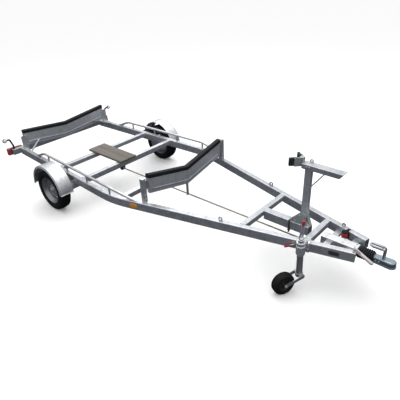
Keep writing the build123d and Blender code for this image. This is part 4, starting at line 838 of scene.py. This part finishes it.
# X of the light bar's rear face, of the trays' rear faces and of the lenses' front and rear faces
LAMP_SEAT, TRAY_REAR, LENS_FRONT, LENS_REAR = -0.0602, -0.07, -0.0695, -0.1145
LAMP_LOW, LAMP_HIGH = -0.092, 0.008
inner, outer, wrap = 0.685, 0.905, 0.858
for side_name, side in SIDES:
    low_y, high_y = sorted((side * inner, side * (wrap + 0.002)))
    tray = slab(f"{side_name}_lamp_tray", (TRAY_REAR, low_y, LAMP_LOW), (LAMP_SEAT, high_y, LAMP_HIGH), 0.003)
    kept(tray, black_plastic, "chassis")
    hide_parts(f"{side_name}_tail_lamp")
    width = (wrap - inner) / 3
    for count, (word, finish) in enumerate((("turn", amber_lens), ("stop", red_lens), ("tail", red_lens))):
        low_y, high_y = sorted((side * (inner + 0.001 + width * count), side * (inner + width * (count + 1))))
        pane = slab(f"{side_name}_{word}_lens", (LENS_REAR, low_y, LAMP_LOW + 0.002),
                    (LENS_FRONT, high_y, LAMP_HIGH - 0.002), 0.007, 4)
        if word == "tail":
            low_y, high_y = sorted((side * wrap, side * outer))
            end_pane = slab("end_pane", (LENS_REAR, low_y, LAMP_LOW), (LAMP_SEAT, high_y, LAMP_HIGH), 0.007, 4)
            joined(f"{side_name}_tail_lens", [pane, end_pane])
        kept(pane, finish, "chassis")
    drum = Vector((-0.03, side * 0.926, 0.152))
    ring_line = ((0.022, -0.0125), (0.0275, -0.0125), (0.0298, -0.0105), (0.03, -0.006), (0.0288, 0),
                 (0.03, 0.006), (0.0298, 0.0105), (0.0275, 0.0125), (0.022, 0.0125), (0.022, -0.0125))
    ring = turned(f"{side_name}_marker_ring", ring_line, drum, (1, 0, 0), 48)
    kept(ring, black_plastic, "chassis")
    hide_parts(f"{side_name}_marker_lamp")
    dome = ((0, 0.0278), (0.009, 0.0272), (0.0165, 0.025), (0.0222, 0.0215), (0.0255, 0.0165), (0.0265, 0.0127),
            (0.0265, 0.0115), (0, 0.0115))
    for word, way, finish, slot in (("clear", 1, clear_lens, "lamp_clear"), ("red", -1, red_lens, "lamp_red")):
        cover = turned(f"{side_name}_marker_{word}", dome, drum, (way, 0, 0), 48)
        kept(cover, finish, "chassis")
arm_rubber = rubber("arm_rubber", (0.004, 0.004, 0.005, 1), (0.014, 0.014, 0.015, 1), 0.66, 200.0)
dress(arm_rubber, "left_marker_arm", "right_marker_arm")
reflector_amber = lens("reflector_amber", (0.9, 0.4, 0.05, 1), (0.62, 0.2, 0.015, 1), 210.0)
dress(reflector_amber, "side_reflectors")

# Parked plug: the trailer's road plug, pushed up into a black cup on a pad that is screwed inside the left rail.
# The plug is a red moulding with ribs for the fingers, narrow at its lower end.
PLUG_FACE = Vector((4.62, 0.14809, -0.05))
plug_in = Vector((-math.sin(NOSE_TAPER), -math.cos(NOSE_TAPER), 0))
plug_rail = Vector((math.cos(NOSE_TAPER), -math.sin(NOSE_TAPER), 0))
holder = slab("plug_holder", (-0.03, -0.03, 0), (0.03, 0.03, 0.006), 0.0025)
on_pad = placed(plug_rail, Vector((0, 0, 1)), plug_in, PLUG_FACE)
settled(holder, on_pad)
kept(holder, black_plastic, "chassis")
PLUG_AT = PLUG_FACE + plug_in * 0.034
plug_line = [(0, 0.044), (0.025, 0.044), (0.0275, 0.042), (0.0295, 0.036), (0.03, 0.004), (0.0275, 0.0025),
             (0.0275, -0.0005), (0.03, -0.002), (0.0295, -0.012)]
for rib in range(4):
    down = -0.014 - rib * 0.0085
    reach = 0.0285 - rib * 0.0038
    plug_line += [(reach, down), (reach - 0.0035, down - 0.0015), (reach - 0.0038, down - 0.0045),
                  (reach - 0.0012, down - 0.006)]
plug_line += [(0.0115, -0.0495), (0.0085, -0.0525), (0, -0.0525)]
plug = turned("road_plug", plug_line, PLUG_AT, (0, 0, 1), 40)
kept(plug, red_plastic, "chassis")
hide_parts("parked_plug")
CUP_LINE = ((0.0252, 0.0425), (0.0312, 0.0425), (0.032, 0.044), (0.032, 0.049), (0.029, 0.0525), (0.022, 0.0535),
            (0, 0.0535), (0, 0.0445), (0.0252, 0.0445), (0.0252, 0.0425))
kept(turned("plug_cup", CUP_LINE, PLUG_AT, (0, 0, 1), 40), arm_rubber, "chassis")
# Black sleeve moulded on the cable eye, and a clip over the rail's edge that carries the plug's cup
EYE_X, EYE_UP, EYE_BAR_R = 4.56, 0.014, 0.0062
eye_line = []
for step in range(13):
    turn = math.tau * step / 12
    eye_line.append((EYE_UP + EYE_BAR_R * math.cos(turn), EYE_BAR_R * math.sin(turn)))
eye_sleeve = turned("eye_sleeve", eye_line, (EYE_X, rail_half(EYE_X), EYE_UP), (0, 1, 0), 24, math.pi, (1, 0, 0))
choose(eye_sleeve, "EDGE", lambda at, way: abs(at.z - EYE_UP) < 0.0001)
bpy.ops.mesh.fill()
done()
kept(eye_sleeve, arm_rubber, "chassis")
clip_over = slab("clip_over", (-0.014, 0.0503, -0.034), (0.014, 0.0545, 0.012), 0.0015)
clip_down = slab("clip_down", (-0.014, 0.028, 0.0005), (0.014, 0.0545, 0.0045), 0.0015)
clip = joined("plug_clip", [clip_over, clip_down])
settled(clip, on_pad)
kept(clip, arm_rubber, "chassis")

# Type plate: a thin blank dark plate on the right rail near the nose, stamped from sheet and painted.
# Four small rivets hold it.
PLATE_X = 4.655
plate_face = Vector((PLATE_X, -rail_half(PLATE_X) - 0.031057, -0.05))
plate = slab("type_plate", (-0.05, -0.021, 0), (0.05, 0.021, 0.0012), 0.0005)
on_face = placed(rail_along, Vector((0, 0, 1)), rail_out, plate_face)
settled(plate, on_face)
kept(plate, drum_black, "chassis")
rivets = []
for along in (-0.044, 0.044):
    for up in (-0.016, 0.016):
        at = plate_face + rail_along * along + Vector((0, 0, up)) + rail_out * 0.0011
        rivets.append(turned("rivet", ((0, 0.0016), (0.0018, 0.0012), (0.0028, 0), (0, 0)), at, rail_out, 14))
kept(joined("plate_rivets", rivets), bolt_zinc, "chassis")

# Floor and light: a plain pale floor, a wide soft light overhead and a pale sky over a darker horizon.
# The camera stands to the right of the coupling, above it, as in the photograph.
bpy.ops.object.select_all(action="DESELECT")
bpy.ops.mesh.primitive_plane_add(size=300, location=(0, 0, 0))
floor = named(bpy.context.object, "floor")
floor_finish, floor_shader, floor_place = new_finish("pale_floor")
floor_place.feed(floor_shader, {
    "Base Color": floor_place.noise(1.5).mix((0.95, 0.95, 0.95, 1), (0.93, 0.93, 0.93, 1)),
    "Roughness": 0.9,
    "Emission Color": (1, 1, 1, 1),
    "Emission Strength": 0.08,
})
floor.data.materials.append(floor_finish)
floor.visible_glossy = False
floor.visible_diffuse = False

sky = bpy.data.worlds.new("studio")
bpy.context.scene.world = sky
sky.use_nodes = True
sky_tree = sky.node_tree
sky_at = Value(sky_tree, sky_tree.nodes.new("ShaderNodeTexCoord").outputs["Generated"])
height = ((sky_at.part("Z") + 0.1) * 1.25).held()
sky_at.feed(sky_tree.nodes["Background"], {
    "Color": height.mix((0.06, 0.065, 0.08, 1), (1.0, 1.0, 1.0, 1)),
    "Strength": 1.1,
})
for name, at, size, power in (("overhead", (-0.6, 1.2, 5.5), 6.0, 180), ("behind", (-4.5, 3.5, 4.0), 3.0, 50)):
    lamp = bpy.data.lights.new(name, "AREA")
    lamp.shape = "SQUARE"
    lamp.size = size
    lamp.energy = power
    light = bpy.data.objects.new(name, lamp)
    bpy.context.scene.collection.objects.link(light)
    light.location = at
    light.rotation_euler = (Vector((0, 0, 0.4)) - Vector(at)).to_track_quat("-Z", "Y").to_euler()

EYE = Vector((3.316, -3.228, 2.822))
AHEAD = Vector((-0.58528, 0.63357, -0.506)).normalized()
ROLL = math.radians(-2.731)
level = AHEAD.cross(Vector((0, 0, 1))).normalized()
upright = level.cross(AHEAD)
right = level * math.cos(ROLL) + upright * math.sin(ROLL)
above = right.cross(AHEAD)
camera = bpy.data.objects.new("camera", bpy.data.cameras.new("camera"))
bpy.context.scene.collection.objects.link(camera)
camera.matrix_world = placed(right, above, AHEAD * -1, EYE)
camera.data.sensor_width = 36
camera.data.lens = 37.878
bpy.context.scene.camera = camera
bpy.context.scene.view_settings.view_transform = "Standard"
